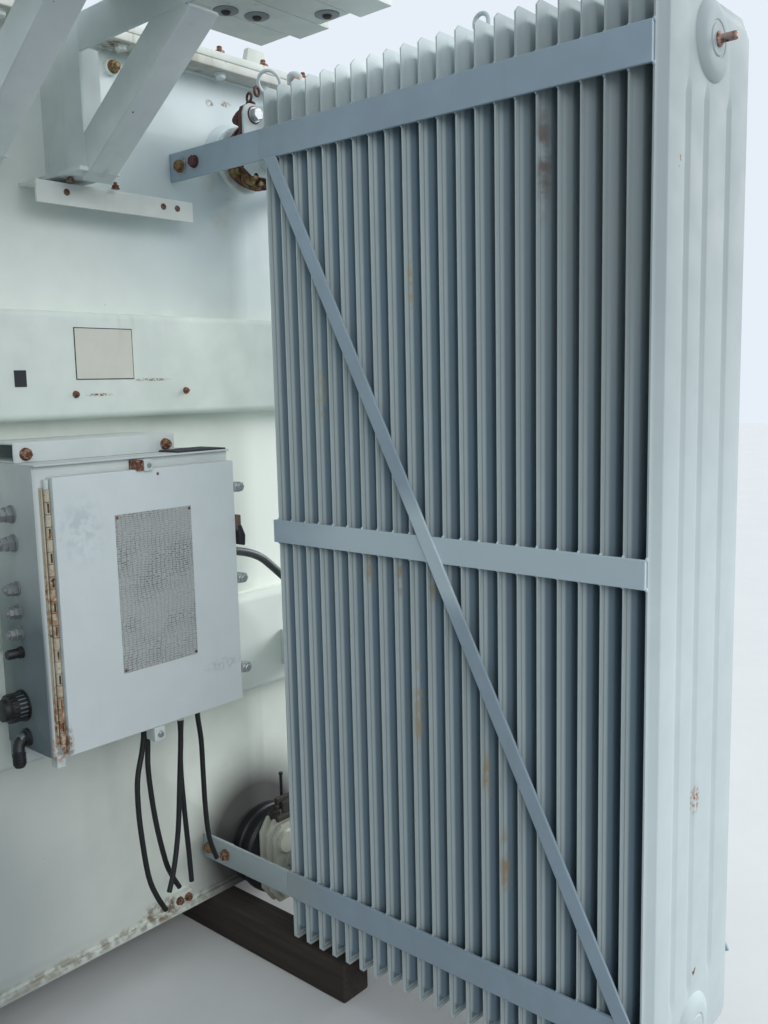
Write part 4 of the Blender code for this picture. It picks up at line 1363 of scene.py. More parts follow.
@dataclass
class PipeJoints:
    """The valves and bolted flanges between the tank and the headers, and the stays' bolts."""

    middle: float = 0.951
    wall: float = -0.550
    neck_face: float = -0.598
    valve_face: float = -0.678
    panel_face: float = -0.890
    plate_depth: float = 0.018
    plate_half: Pair = (0.086, 0.113)
    plate_corners: tuple[Pair, ...] = (
        (0.74, 1.0), (0.92, 0.93), (1.0, 0.78), (1.0, -0.40), (0.7, -0.55))
    body_half: Pair = (0.092, 0.126)
    body_corners: tuple[Pair, ...] = (
        (0.7, 1.0), (1.0, 0.7), (1.0, -0.6), (0.6, -1.0))
    body_plates: tuple[Pair, ...] = (
        (0.012, 1.0), (0.010, 0.90), (0.012, 0.98), (0.016, 0.86))
    body_pitch: float = 0.0125
    bolt_across: float = 0.050
    bolt_up: float = 0.086
    header_radius: float = 0.038
    heights: Pair = (0.190, 2.095)
    stay_faces: Pair = (0.7427, 1.1593)
    stay_bolts: tuple[tuple[float, float, str], ...] = (
        (-0.593, 2.050, "gilt_rust"), (-0.650, 2.052, "dark_red_rust"),
        (-0.578, 0.258, "gilt_rust"), (-0.645, 0.258, "rusty_bolt"))

    def _outline(self, z: float, half: Pair,
                 corners: Sequence[Pair]) -> list[Pair]:
        """Return the outline of a plate whose right side mirrors its left one.

        Args:
            z: The height of the plate's middle.
            half: Half of its width and of its height.
            corners: How far out and up each left corner lies, from the top to the foot, as
                shares of the halves.

        Returns:
            Every corner in order, the left ones and then their mirror images.
        """
        half_x, half_z = half
        left = [(-across * half_x, up * half_z) for across, up in corners]
        right = [(-x, up) for x, up in reversed(left)]
        return [(self.middle + x, z + up) for x, up in left + right]

    def _plate(self, z: float, front: float, depth: float) -> bpy.types.Object:
        """Cut one flange plate with cut corners, whose foot ends behind the strap."""
        outline = self._outline(z, self.plate_half, self.plate_corners)
        plate = Bench.slab("flange_plate", outline, Axis.Y, front, front + depth, 0.002)
        return Bench.smoothed(plate, 30)

    def _stub(self, z: float) -> bpy.types.Object:
        """Turn the pipe from the flange to the first panel, with its welded collar."""
        radius = self.header_radius
        length = self.valve_face - self.plate_depth - self.panel_face
        return Bench.turned("header_stub", [(radius, 0.0), (radius, length - 0.012),
                                            (radius + 0.007, length - 0.004),
                                            (radius + 0.009, length + 0.002)],
                            (self.middle, self.panel_face, z), Axis.Y, 28)

    def _corner_bolts(self, z: float, front: float) -> list[bpy.types.Object]:
        """Put a big bolt near each corner of a flange plate."""
        return [Hardware.at(Fastener.BOLT, (self.middle + sx * self.bolt_across, front - 0.002,
                                            z + self.bolt_up),
                            Axis.NEG_Y, 0.030, 10 * sx) for sx in (-1, 1)]

    def _top(self) -> dict[str, tuple[bpy.types.Object, str]]:
        """Build the upper joint: plates, rusted valve disc, bolts, ring, links and bleeder."""
        z = self.heights[1]
        front = self.valve_face - self.plate_depth
        pale = [self._plate(z, front, 0.007), self._stub(z)]
        pale.append(Bench.ring((self.middle, -0.702, z + 0.172), 0.030, 0.0045, (0, 62, 20)))
        pale.append(Bench.block("ring_lug", (self.middle - 0.006, -0.716, z + 0.030),
                                (self.middle + 0.006, -0.688, z + 0.146), 0.002))
        pale.append(Bench.turned("bleeder", [
            (0.012, 0.0), (0.012, 0.050), (0.018, 0.052), (0.018, 0.088), (0.013, 0.096),
            (0.013, 0.112), (0.019, 0.115), (0.019, 0.140), (0.014, 0.146)],
            (self.middle, -0.795, z + 0.030), Axis.Z, 18))
        disc = Bench.turned("valve_disc", [
            (0.060, 0.001), (0.071, 0.004), (0.071, 0.026), (0.078, 0.030), (0.083, 0.032),
            (0.083, 0.042), (0.070, 0.044), (0.070, 0.052), (0.084, 0.054), (0.084, 0.064),
            (0.072, 0.067), (0.072, 0.0790)],
            (self.middle, self.neck_face, z), Axis.NEG_Y, 40)
        lever = Bench.turned("valve_stem", [(0.008, 0.060), (0.008, 0.116), (0.013, 0.118),
                                            (0.013, 0.134), (0.007, 0.138)],
                             (self.middle - 0.010, -0.640, z), Axis.Z, 12)
        rims, rods, nuts = [], [], []
        for sx in (-1, 1):
            x, up = self.middle + sx * self.bolt_across, z + self.bolt_up
            rims.append(Bench.turned("bolt_shade", [(0.0215, 0.0), (0.0215, 0.002),
                                                    (0.0200, 0.003)],
                                     (x, front, up), Axis.NEG_Y, 24))
            rods.append(Bench.turned("rod", [(0.009, 0.0), (0.009, 0.030)],
                                     (x, self.valve_face, up), Axis.Y, 14))
            nuts.append(Hardware.at(Fastener.NUT, (x, self.valve_face + 0.024, up), Axis.Y,
                                    0.034, 20 * sx))
        gilt = [Bench.turned("gasket", [(0.060, 0.0), (0.078, 0.0005), (0.078, 0.009),
                                        (0.060, 0.010)],
                             (self.middle, -0.664, z), Axis.NEG_Y, 40)]
        for x, y, dz, size in ((-0.050, -0.662, -0.062, 0.034), (-0.078, -0.640, -0.048, 0.026),
                               (0.050, -0.662, -0.062, 0.034), (-0.024, -0.660, -0.074, 0.026)):
            gilt.append(Hardware.at(Fastener.NUT, (self.middle + x, y, z + dz), Axis.NEG_Y, size,
                                    900 * x))
        back_plate = self._plate(z, front + 0.007, 0.014)
        links = [Bench.ring((self.middle + x, y, z + dz), 0.0108, 0.0034, (90, 0, lean), 24, 8)
                 for x, y, dz, lean in ((-0.035, -0.663, 0.138, 80),
                                        (-0.020, -0.676, 0.153, 15))]
        valve = [disc, lever, back_plate, *rods, *rims, *links]
        return {name: (Bench.joined(name, parts), finish) for name, parts, finish in (
            ("top_joint", pale, "joint_paint"), ("top_valve", valve, "dark_red_rust"),
            ("top_gasket", gilt, "gilt_rust"),
            ("top_joint_bolts", self._corner_bolts(z, front), "zinc"),
            ("top_joint_nuts", nuts, "dark_red_rust"))}

    def _low(self) -> dict[str, tuple[bpy.types.Object, str]]:
        """Build the lower joint: black wheel-like flange, cream valve body, clamp and stem."""
        z = self.heights[0]
        front = self.valve_face - self.plate_depth
        wheel = Bench.turned("black_flange", [
            (0.060, 0.006), (0.112, 0.007), (0.118, 0.012), (0.118, 0.034), (0.112, 0.040),
            (0.106, 0.042), (0.106, 0.050), (0.122, 0.052), (0.125, 0.058), (0.125, 0.078),
            (0.118, 0.086), (0.098, 0.092), (0.080, 0.096), (0.060, 0.096)],
            (self.middle, self.wall, z), Axis.NEG_Y, 44)
        stem = Bench.turned("stem", [(0.0105, 0.080), (0.0105, 0.140), (0.0045, 0.144),
                                     (0.0045, 0.225), (0.0060, 0.227), (0.0060, 0.234)],
                            (self.middle - 0.004, -0.650, z), Axis.Z, 12)
        pale = [self._stub(z)]
        for i, (depth, size) in enumerate(self.body_plates):
            start = -0.648 - i * self.body_pitch
            half = (self.body_half[0] * size, self.body_half[1] * size)
            pale.append(Bench.smoothed(Bench.slab(
                "valve_plate", self._outline(z, half, self.body_corners), Axis.Y,
                start - depth, start, 0.003), 30))
        pale.append(Bench.turned("body_boss", [(0.034, -0.002), (0.034, 0.010), (0.029, 0.016),
                                               (0.018, 0.017)],
                                 (self.middle - 0.040, front, z + 0.060), Axis.NEG_Y, 24))
        clamp = [Bench.block("clamp_arm", (self.middle - 0.060, -0.694, z + 0.116),
                             (self.middle + 0.040, -0.650, z + 0.132), 0.003),
                 Bench.block("clamp_jaw", (self.middle - 0.034, -0.684, z + 0.130),
                             (self.middle + 0.012, -0.652, z + 0.164), 0.004),
                 Bench.block("clamp_bar", (self.middle - 0.046, -0.676, z + 0.150),
                             (self.middle + 0.030, -0.664, z + 0.176), 0.003),
                 Hardware.at(Fastener.NUT, (self.middle - 0.046, -0.672, z + 0.130), Axis.Z, 0.028),
                 Hardware.at(Fastener.NUT, (self.middle + 0.026, -0.672, z + 0.130), Axis.Z, 0.026)]
        return {name: (Bench.joined(name, parts), finish) for name, parts, finish in (
            ("low_joint", pale, "valve_cream"), ("low_flange", [wheel, stem], "flange_black"),
            ("low_clamp", clamp, "grimy_iron"))}

    def build(self) -> None:
        """Build both joints once, copy them to each bank and bolt the stays to the wall."""
        fit_corners(self._top(), "valve_top", "top_joint")
        fit_corners(self._low(), "valve_low", "low_joint")
        for corner in Corner:
            self._stays(corner)

    def _stays(self, corner: Corner) -> None:
        """Dress the four stays of one bank and bolt each to its lug."""
        for level in ("top", "low"):
            for side in ("inner", "outer"):
                node = f"stay_{level}_{side}_{corner.suffix}"
                fit_piece(Bench.softened(node, node + "_bar", 0.0012), "strap_paint")
        for finish in ("gilt_rust", "dark_red_rust", "rusty_bolt"):
            bolts = []
            for x, axis in zip(self.stay_faces, (Axis.NEG_X, Axis.X)):
                bolts += [Hardware.at(Fastener.BOLT, (x, y, z), axis, 0.024, 20)
                          for y, z, kind in self.stay_bolts if kind == finish]
            group = Bench.joined(f"stay_{finish}_{corner.suffix}", bolts)
            group.data.transform(corner.mirror)
            if corner.mirror.determinant() < 0:
                group.data.flip_normals()
            fit_piece(group, finish)


@dataclass
class TankShell:
    """The tank with its bands, base, bolted cover, wall fittings and bare plates."""

    half_x: float = 1.300
    half_y: float = 0.550
    rim_out: float = 0.065
    bolt_pitch: float = 0.150
    bands: tuple[Pair, ...] = ((1.440, 1.683), (0.670, 0.935))
    band_out: float = 0.060
    weld_radius: float = 0.0045
    weld_heights: Pair = (2.300, 0.121)
    cover_top: float = 2.3443
    rim_low: float = 2.302
    cover_bolt: float = 0.024
    label: tuple[float, float, float, float] = (0.409, 0.560, 1.531, 1.645)
    tag: tuple[float, float, float, float] = (0.257, 0.285, 1.515, 1.551)
    band_studs: tuple[Pair, ...] = ((0.403, 1.496), (0.713, 1.499))
    wall_bosses: tuple[Pair, ...] = ((0.584, 2.256), (0.709, 2.213))

    def _shells(self) -> None:
        """Round the edges of the welded steelwork."""
        for node, width, steps, finish in (
                ("tank", 0.006, 2, "wall_paint"), ("upper_band", 0.016, 4, "band_paint"),
                ("lower_band", 0.016, 4, "band_paint"), ("base_plate", 0.003, 2, "wall_paint"),
                ("rim", 0.003, 2, "rim_paint"), ("cover", 0.003, 2, "cover_paint")):
            fit_piece(Bench.softened(node, node + "_shell", width, steps), finish)

    def _welds(self) -> None:
        """Run a weld bead along both edges of each band and under the rim."""
        beads = []
        for z0, z1 in self.bands:
            for z in (z0 + 0.002, z1 - 0.002):
                beads += self._bead_loop(z)
        for z in self.weld_heights:
            beads += self._bead_loop(z)
        fit_parts("tank_welds", beads, "wall_paint")

    def _bead_loop(self, z: float) -> list[bpy.types.Object]:
        """Lay four straight beads round the tank at one height."""
        x, y, r = self.half_x, self.half_y, self.weld_radius
        return [Bench.turned("bead", [(r, 0.0), (r, length)], start, axis, 8)
                for start, axis, length in (
                    ((-x, -y, z), Axis.X, 2 * x), ((-x, y, z), Axis.X, 2 * x),
                    ((-x, -y, z), Axis.Y, 2 * y), ((x, -y, z), Axis.Y, 2 * y))]

    def _rim_bolts(self) -> None:
        """Bolt the cover down all round, heads on top and nuts under the rim."""
        line_x, line_y = self.half_x + self.rim_out * 0.55, self.half_y + self.rim_out * 0.55
        places = []
        for length, line, along_x in ((2 * line_x, line_y, True), (2 * line_y, line_x, False)):
            count = round(length / self.bolt_pitch)
            for i in range(0 if along_x else 1, count + 1 if along_x else count):
                t = -length / 2 + length * i / count
                places += [(t, side * line) if along_x else (side * line, t) for side in (-1, 1)]
        size = self.cover_bolt
        heads = [Hardware.at(Fastener.NUT, (x, y, self.cover_top), Axis.Z, size, 37 * i)
                 for i, (x, y) in enumerate(places)]
        feet = [Hardware.at(Fastener.BOLT, (x, y, self.rim_low), Axis.NEG_Z, size, 23 * i)
                for i, (x, y) in enumerate(places)]
        fit_parts("cover_bolts", heads[::2] + feet[1::2], "rusty_bolt")
        fit_parts("cover_bolts_painted", heads[1::2] + feet[::2], "wall_paint")

    def _plates(self) -> None:
        """Put the bare label plate, the small tag and the studs on the upper band."""
        face = -(self.half_y + self.band_out)
        for name, (x0, x1, z0, z1), finish, border in (
                ("label_plate", self.label, "label_cream", 0.0022),
                ("number_tag", self.tag, "flange_black", 0.0)):
            if border:
                fit_piece(Bench.block(name + "_border", (x0 - border, face - 0.0008, z0 - border),
                                      (x1 + border, face + 0.001, z1 + border), 0.0003, 1),
                          "inner_dark")
            fit_piece(Bench.block(name, (x0, face - 0.0016, z0), (x1, face + 0.001, z1),
                                  0.0005), finish)
        studs = [Hardware.at(Fastener.NUT, (x, face, z), Axis.NEG_Y, 0.013, 25)
                 for x, z in self.band_studs]
        fit_parts("band_studs", studs, "rusty_bolt")

    def _wall_fittings(self) -> None:
        """Weld on the neck pads, the two bolted bosses and the earthing pad."""
        pads = []
        for sx in (-1, 1):
            for axis, y in ((Axis.NEG_Y, -self.half_y), (Axis.Y, self.half_y)):
                pads.append(Bench.turned("neck_pad", [(0.098, -0.001), (0.097, 0.0012),
                                                      (0.093, 0.0020), (0.052, 0.0020),
                                                      (0.044, 0.012)],
                                         (sx * 0.951, y, 2.095), axis, 40))
        for x, z in self.wall_bosses:
            pads.append(Bench.turned("wall_boss", [(0.018, 0.0), (0.018, 0.011), (0.015, 0.014),
                                                   (0.010, 0.014)],
                                     (x, -self.half_y, z), Axis.NEG_Y, 24))
        pads.append(Bench.block("earth_pad", (0.629, -self.half_y - 0.016, 0.1190),
                                (0.685, -self.half_y + 0.004, 0.160), 0.002))
        fit_parts("wall_fittings", pads, "wall_paint")
        nuts = [Hardware.at(Fastener.NUT, (x, -self.half_y - 0.013, z), Axis.NEG_Y, 0.024, 10)
                for x, z in self.wall_bosses]
        fit_parts("boss_nuts", nuts, "gilt_rust")
        bolts = [Hardware.at(Fastener.BOLT, (x, -self.half_y - 0.016, 0.142), Axis.NEG_Y, 0.018)
                 for x in (0.643, 0.671)]
        fit_parts("wall_bolts", bolts, "rusty_bolt")

    def build(self) -> None:
        """Build everything that belongs to the tank."""
        self._shells()
        self._welds()
        self._rim_bolts()
        self._plates()
        self._wall_fittings()
        for i in (1, 2, 3):
            timber = Bench.softened(f"timber_{i}", f"timber_{i}_balk", 0.006, 2)
            fit_piece(timber, "old_timber")


@dataclass
class Steelwork:
    """The two brackets, the platform on them and the angle on the wall."""

    platform_low: float = 2.2903
    platform_left: float = -0.060
    plank_edges: tuple[float, ...] = (-1.210, -1.118, -1.026, -0.931, -0.835)
    plank_ends: tuple[float, ...] = (0.838, 0.806, 0.838, 0.806)
    plank_height: float = 0.060
    plank_sheet: float = 0.006
    angle_front: float = -0.6223
    angle_holes: tuple[float, ...] = (0.405, 0.664, 0.705)
    under_bolts: tuple[Pair, ...] = (
        (0.609, -0.945), (0.676, -0.967), (0.774, -1.081), (0.060, -0.945), (0.060, -1.081))

    def _planks(self) -> None:
        """Fold the platform's steel planks with turned-up sides, set beside each other."""
        planks = []
        low, high = self.platform_low, self.platform_low + self.plank_height
        x0, sheet, gap, rounding = self.platform_left, self.plank_sheet, 0.001, 0.0012
        for y0, y1, end in zip(self.plank_edges, self.plank_edges[1:], self.plank_ends):
            planks.append(Bench.block("plank", (x0, y0 + gap, low), (end, y1 - gap, low + sheet),
                                      rounding))
            for y in (y0 + gap, y1 - gap - sheet):
                planks.append(Bench.block("plank_side", (x0, y, low + sheet / 2),
                                          (end, y + sheet, high), rounding))
        piece = Bench.joined("platform_planks", planks)
        fit_piece(piece, "platform_paint")
        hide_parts("platform")
        washers, bolts = [], []
        for x, y in self.under_bolts:
            washers.append(Bench.turned("washer", [(0.027, 0.0), (0.027, 0.002), (0.025, 0.003)],
                                        (x, y, self.platform_low), Axis.NEG_Z, 28))
            bolts.append(Hardware.at(Fastener.RIVET, (x, y, self.platform_low - 0.0025),
                                     Axis.NEG_Z, 0.021))
        fit_parts("platform_washers", washers, "gland_zinc")
        fit_parts("platform_bolts", bolts, "grimy_iron")

    def build(self) -> None:
        """Dress the brackets and the wall angle, and lay the platform."""
        for node in ("bracket_1", "bracket_2"):
            fit_piece(Bench.softened(node, node + "_angle", 0.0014), "bracket_paint")
        fit_piece(Bench.softened("wall_angle", "wall_angle_bar", 0.0010), "platform_paint")
        holes = [Bench.turned("hole", [(0.0075, 0.0), (0.0075, 0.0012), (0.0070, 0.0016)],
                              (x, self.angle_front, 1.940), Axis.NEG_Y, 18)
                 for x in self.angle_holes]
        fit_parts("angle_holes", holes, "old_steel")
        nuts = [Hardware.at(Fastener.NUT, (x, -0.640, 1.9595), Axis.Z, 0.015, 30)
                for x in (0.405, 0.520)]
        fit_parts("angle_nuts", nuts, "rusty_bolt")
        self._planks()


@dataclass
class ControlCabinet:
    """The cabinet with its rails, hinged door, nameplate, clamps, glands and connectors."""

    left: float = 0.184
    right: float = 0.688
    low: float = 0.742
    top: float = 1.358
    front: float = -0.787
    door_x: Pair = (0.214, 0.686)
    door_y: Pair = (-0.812, -0.792)
    door_z: Pair = (0.744, 1.331)
    hinge: Pair = (0.2075, -0.797)
    leaf_x: Pair = (0.1960, 0.2120)
    fold_x: Pair = (0.1972, 0.2004)
    barrel: float = 0.0055
    knuckle: float = 0.0255
    hinge_inset: float = 0.024
    plate: tuple[float, float, float, float] = (0.354, 0.555, 0.888, 1.238)
    gland_y: float = -0.695
    silver_glands: tuple[Pair, ...] = (
        (1.252, 0.030), (1.191, 0.030), (1.094, 0.025), (1.044, 0.024), (0.997, 0.024))
    clamp_heights: tuple[float, ...] = (1.266, 1.043, 0.819)
    connector_radius: float = 0.031
    connector_ribs: int = 20
    tail_places: tuple[Pair, ...] = (
        (0.459, -0.716), (0.487, -0.690), (0.558, -0.725), (0.588, -0.690), (0.622, -0.712))

    def _door(self) -> None:
        """Press the door as a shallow pan and hang it on its piano hinge."""
        (x0, x1), (y0, y1), (z0, z1) = self.door_x, self.door_y, self.door_z
        door = Bench.block("door_panel", (x0, y0, z0), (x1, y1, z1), 0.0)
        Bench.choose(door, "FACE", lambda c: c.y > y1 - 0.001)
        bpy.ops.mesh.inset(thickness=0.003, depth=0.0)
        bpy.ops.mesh.extrude_region_move(TRANSFORM_OT_translate={"value": (0, -0.017, 0)})
        bpy.ops.object.mode_set(mode="OBJECT")
        Bench.smoothed(Bench.bevelled(door, 0.0028, 3), 40)
        fit_piece(door, "door_paint", DOOR)
        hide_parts("cabinet_door")
        knuckles: dict[str, list[bpy.types.Object]] = {DOOR: [], BODY: []}
        slots = []
        hinge_x, hinge_y = self.hinge
        start, end = z0 + self.hinge_inset, z1 - self.hinge_inset
        count = int((end - start) / self.knuckle)
        height = (end - start) / count
        for i in range(count):
            z = start + i * height
            body = DOOR if i % 2 == 0 else BODY
            radius = self.barrel + (0.0008 if body == DOOR else 0.0002)
            rings = [(radius - 0.0008, 0.0006), (radius, 0.0014), (radius, height - 0.0014),
                     (radius - 0.0008, height - 0.0006)]
            knuckles[body].append(Bench.turned("knuckle", rings, (hinge_x, hinge_y, z), Axis.Z,
                                               16))
            if body == DOOR:
                knuckles[body].append(Bench.block(
                    "knuckle_leaf", (hinge_x, hinge_y - 0.0012, z + 0.001),
                    (x0 + 0.002, hinge_y + 0.0012, z + height - 0.001), 0.0003, 1))
            else:
                # Dark slot blocks on the body's knuckles: painted shade in the hinge's gaps.
                slots.append(Bench.block(
                    "slot", (hinge_x - 0.0025, hinge_y - radius - 0.0002, z + height * 0.14),
                    (hinge_x + 0.0016, hinge_y - radius + 0.0030, z + height * 0.90), 0.0004, 1))
        fit_parts("hinge_knuckles", knuckles[DOOR], "hinge_cream", DOOR)
        pin = Bench.turned("hinge_pin", [(0.0030, 0.0), (0.0030, end - start)],
                           (hinge_x, hinge_y, start), Axis.Z, 12)
        fit_parts("hinge_pin", [*slots, pin], "slot_rust")
        leaf_x, fold_x = self.leaf_x, self.fold_x
        leaf = Bench.block("hinge_leaf", (leaf_x[0], self.front - 0.0030, z0 + 0.020),
                           (leaf_x[1], self.front + 0.0004, z1 - 0.020), 0.0005, 1)
        fold = Bench.block("hinge_fold", (fold_x[0], self.front - 0.0090, z0 + 0.022),
                           (fold_x[1], self.front - 0.0020, z1 - 0.022), 0.0010, 1)
        fit_parts("hinge_leaf", [leaf, fold, *knuckles[BODY]], "hinge_cream")

    def _nameplate(self) -> None:
        """Rivet the engraved plate to the door."""
        x0, x1, z0, z1 = self.plate
        face = self.door_y[0]
        plate = Bench.block("name_plate", (x0, face - 0.0014, z0), (x1, face + 0.001, z1),
                            0.0005, 1)
        fit_piece(plate, "engraved_plate", DOOR)
        rivets = [Hardware.at(Fastener.RIVET, (x, face - 0.0012, z), Axis.NEG_Y, 0.0075)
                  for x in (x0 + 0.005, x1 - 0.005) for z in (z0 + 0.006, z1 - 0.006)]
        fit_parts("name_plate_rivets", rivets, "old_steel", DOOR)

    def _case(self) -> None:
        """Dress the case, its lip round the door and the rails that it hangs on."""
        fit_piece(Bench.softened("cabinet_body", "cabinet_case", 0.0016), "cabinet_paint")
        hood = Bench.block("cabinet_hood",
                           (self.left - 0.0006, self.front - 0.010, self.top - 0.004),
                           (self.right + 0.0006, self.front + 0.010, self.top + 0.0002), 0.0012)
        foot = Bench.block("foot_clip", (self.left + 0.010, self.front - 0.004, self.low - 0.026),
                           (self.left + 0.030, self.front + 0.020, self.low + 0.002), 0.002)
        fit_parts("cabinet_trim", [hood, foot], "cabinet_paint")
        strip = Bench.block("top_strip", (0.545, self.front - 0.004, self.top),
                            (self.right - 0.004, self.front + 0.090, self.top + 0.004), 0.0015)
        fit_piece(strip, "inner_dark")
        for node in ("top_rail", "low_rail"):
            fit_piece(Bench.softened(node, node + "_channel", 0.0014), "cabinet_paint")
        bolts = [Hardware.at(Fastener.NUT, (x, -0.716, 1.376), Axis.NEG_Y, 0.021, 20)
                 for x in (0.213, 0.564)]
        fit_parts("top_rail_bolts", bolts, "rusty_bolt")

    def _clamps(self) -> None:
        """Fit the screw clamps and the hasp that hold the door shut."""
        face = self.door_y[0]
        pale = [Bench.block("clamp", (0.432, face - 0.006, 1.326), (0.455, face + 0.027, 1.352),
                            0.002),
                Bench.block("clamp_low", (0.422, face - 0.004, 0.712),
                            (0.451, face + 0.030, 0.7435), 0.002)]
        rusty = [Bench.block("clamp_rusty", (0.413, face - 0.007, 1.328),
                             (0.431, face + 0.027, 1.352), 0.003),
                 Hardware.at(Fastener.RIVET, (0.470, face, 1.318), Axis.NEG_Y, 0.007)]
        zinc = [Hardware.at(Fastener.BOLT, (0.437, face - 0.003, 0.727), Axis.NEG_Y, 0.012),
                Hardware.at(Fastener.BOLT, (0.444, face - 0.005, 1.339), Axis.NEG_Y, 0.009)]
        for z in self.clamp_heights:
            zinc.append(Bench.block("side_clamp", (self.right - 0.001, face - 0.002, z - 0.011),
                                    (self.right + 0.020, face + 0.034, z + 0.012), 0.002))
            zinc.append(Hardware.at(Fastener.BOLT, (self.right + 0.019, face + 0.008, z), Axis.X,
                                    0.019))
            zinc.append(Hardware.at(Fastener.BOLT, (self.right + 0.011, face - 0.002, z),
                                    Axis.NEG_Y, 0.017, 12))
        dark = [Bench.block("hasp", (self.right - 0.002, face - 0.008, 1.162),
                            (self.right + 0.010, face + 0.016, 1.200), 0.003)]
        lock = Bench.slab("lock_body", [(self.right + 0.001, 1.128), (self.right + 0.017, 1.124),
                                        (self.right + 0.019, 1.150), (self.right + 0.008, 1.176),
                                        (self.right - 0.001, 1.176)],
                          Axis.Y, face - 0.012, face + 0.010, 0.003)
        for name, parts, finish in (("door_clamps", pale, "cabinet_paint"),
                                    ("door_clamps_rusty", rusty, "rusty_bolt"),
                                    ("side_clamps", zinc, "zinc"), ("hasp", dark, "old_steel"),
                                    ("lock", [lock], "cable_black")):
            fit_parts(name, parts, finish)

    def _glands(self) -> None:
        """Screw the glands, the ribbed connector and the elbow into the left side."""
        side, y = self.left - 0.0004, self.gland_y
        silver = [Hardware.at(Fastener.GLAND, (side, y, z), Axis.NEG_X, size, 15 * i)
                  for i, (z, size) in enumerate(self.silver_glands)]
        fit_parts("silver_glands", silver, "gland_zinc")
        black = [Bench.turned("black_gland", [(0.013, 0.0), (0.013, 0.006), (0.0105, 0.008),
                                              (0.0105, 0.030), (0.0085, 0.034)],
                              (side, y, 0.956), Axis.NEG_X, 18)]
        radius, centre = self.connector_radius, (side, y + 0.010, 0.837)
        black.append(Bench.turned("connector_flange", [(radius + 0.004, 0.0),
                                                       (radius + 0.004, 0.004)],
                                  centre, Axis.NEG_X, 32))
        black.append(Bench.turned("connector_core", [(radius - 0.002, 0.003),
                                                     (radius - 0.003, 0.036), (0.024, 0.040),
                                                     (0.024, 0.050), (0.018, 0.053)],
                                  centre, Axis.NEG_X, 32))
        rib = Bench.block("rib", (-0.0020, -0.0032, 0.004), (0.0024, 0.0032, 0.036), 0.0012)
        for i in range(self.connector_ribs):
            turn = Matrix.Rotation(2 * math.pi * i / self.connector_ribs, 4, "Z")
            black.append(Bench.copied(rib, "rib", Matrix.Translation(centre)
                                      @ Axis.NEG_X.turn @ turn
                                      @ Matrix.Translation((radius - 0.002, 0, 0))))
        Bench.discard(rib)
        black.append(Bench.turned("elbow_nut", [(0.020, 0.0), (0.020, 0.005), (0.016, 0.007),
                                                (0.016, 0.010)], (side, y, 0.768), Axis.NEG_X, 24))
        bend = [(side - 0.004 - 0.024 * math.sin(a), y - 0.010 * (1 - math.cos(a)),
                 0.768 - 0.024 * (1 - math.cos(a)))
                for a in (math.radians(10 * i) for i in range(10))]
        black.append(Bench.tube("elbow", bend, 0.0125))
        for i in range(4):
            black.append(Bench.turned("elbow_rib", [(0.0140, 0.0), (0.0140, 0.003)],
                                      (side - 0.028, y - 0.010, 0.742 - 0.0065 * i),
                                      Axis.NEG_Z, 20))
        black.append(Bench.turned("elbow_end", [(0.0125, -0.002), (0.0125, 0.030), (0.010, 0.034)],
                                  (side - 0.028, y - 0.010, 0.746), Axis.NEG_Z, 20))
        for x, cable_y in self.tail_places:
            black.append(Bench.turned("tail_gland", [(0.0125, 0.0), (0.0125, 0.010),
                                                     (0.0112, 0.012), (0.0112, 0.030),
                                                     (0.0090, 0.0355)],
                                      (x, cable_y, self.low), Axis.NEG_Z, 16))
        fit_parts("black_glands", black, "cable_black")
        socket = Bench.turned("conduit_socket", [(0.019, 0.0), (0.019, 0.010), (0.016, 0.012),
                                                 (0.016, 0.0230), (0.013, 0.026)],
                              (self.right - 0.001, -0.700, 1.092), Axis.X, 24)
        fit_piece(socket, "zinc")

    def build(self) -> None:
        """Build the whole cabinet."""
        self._case()
        self._door()
        self._nameplate()
        self._clamps()
        self._glands()


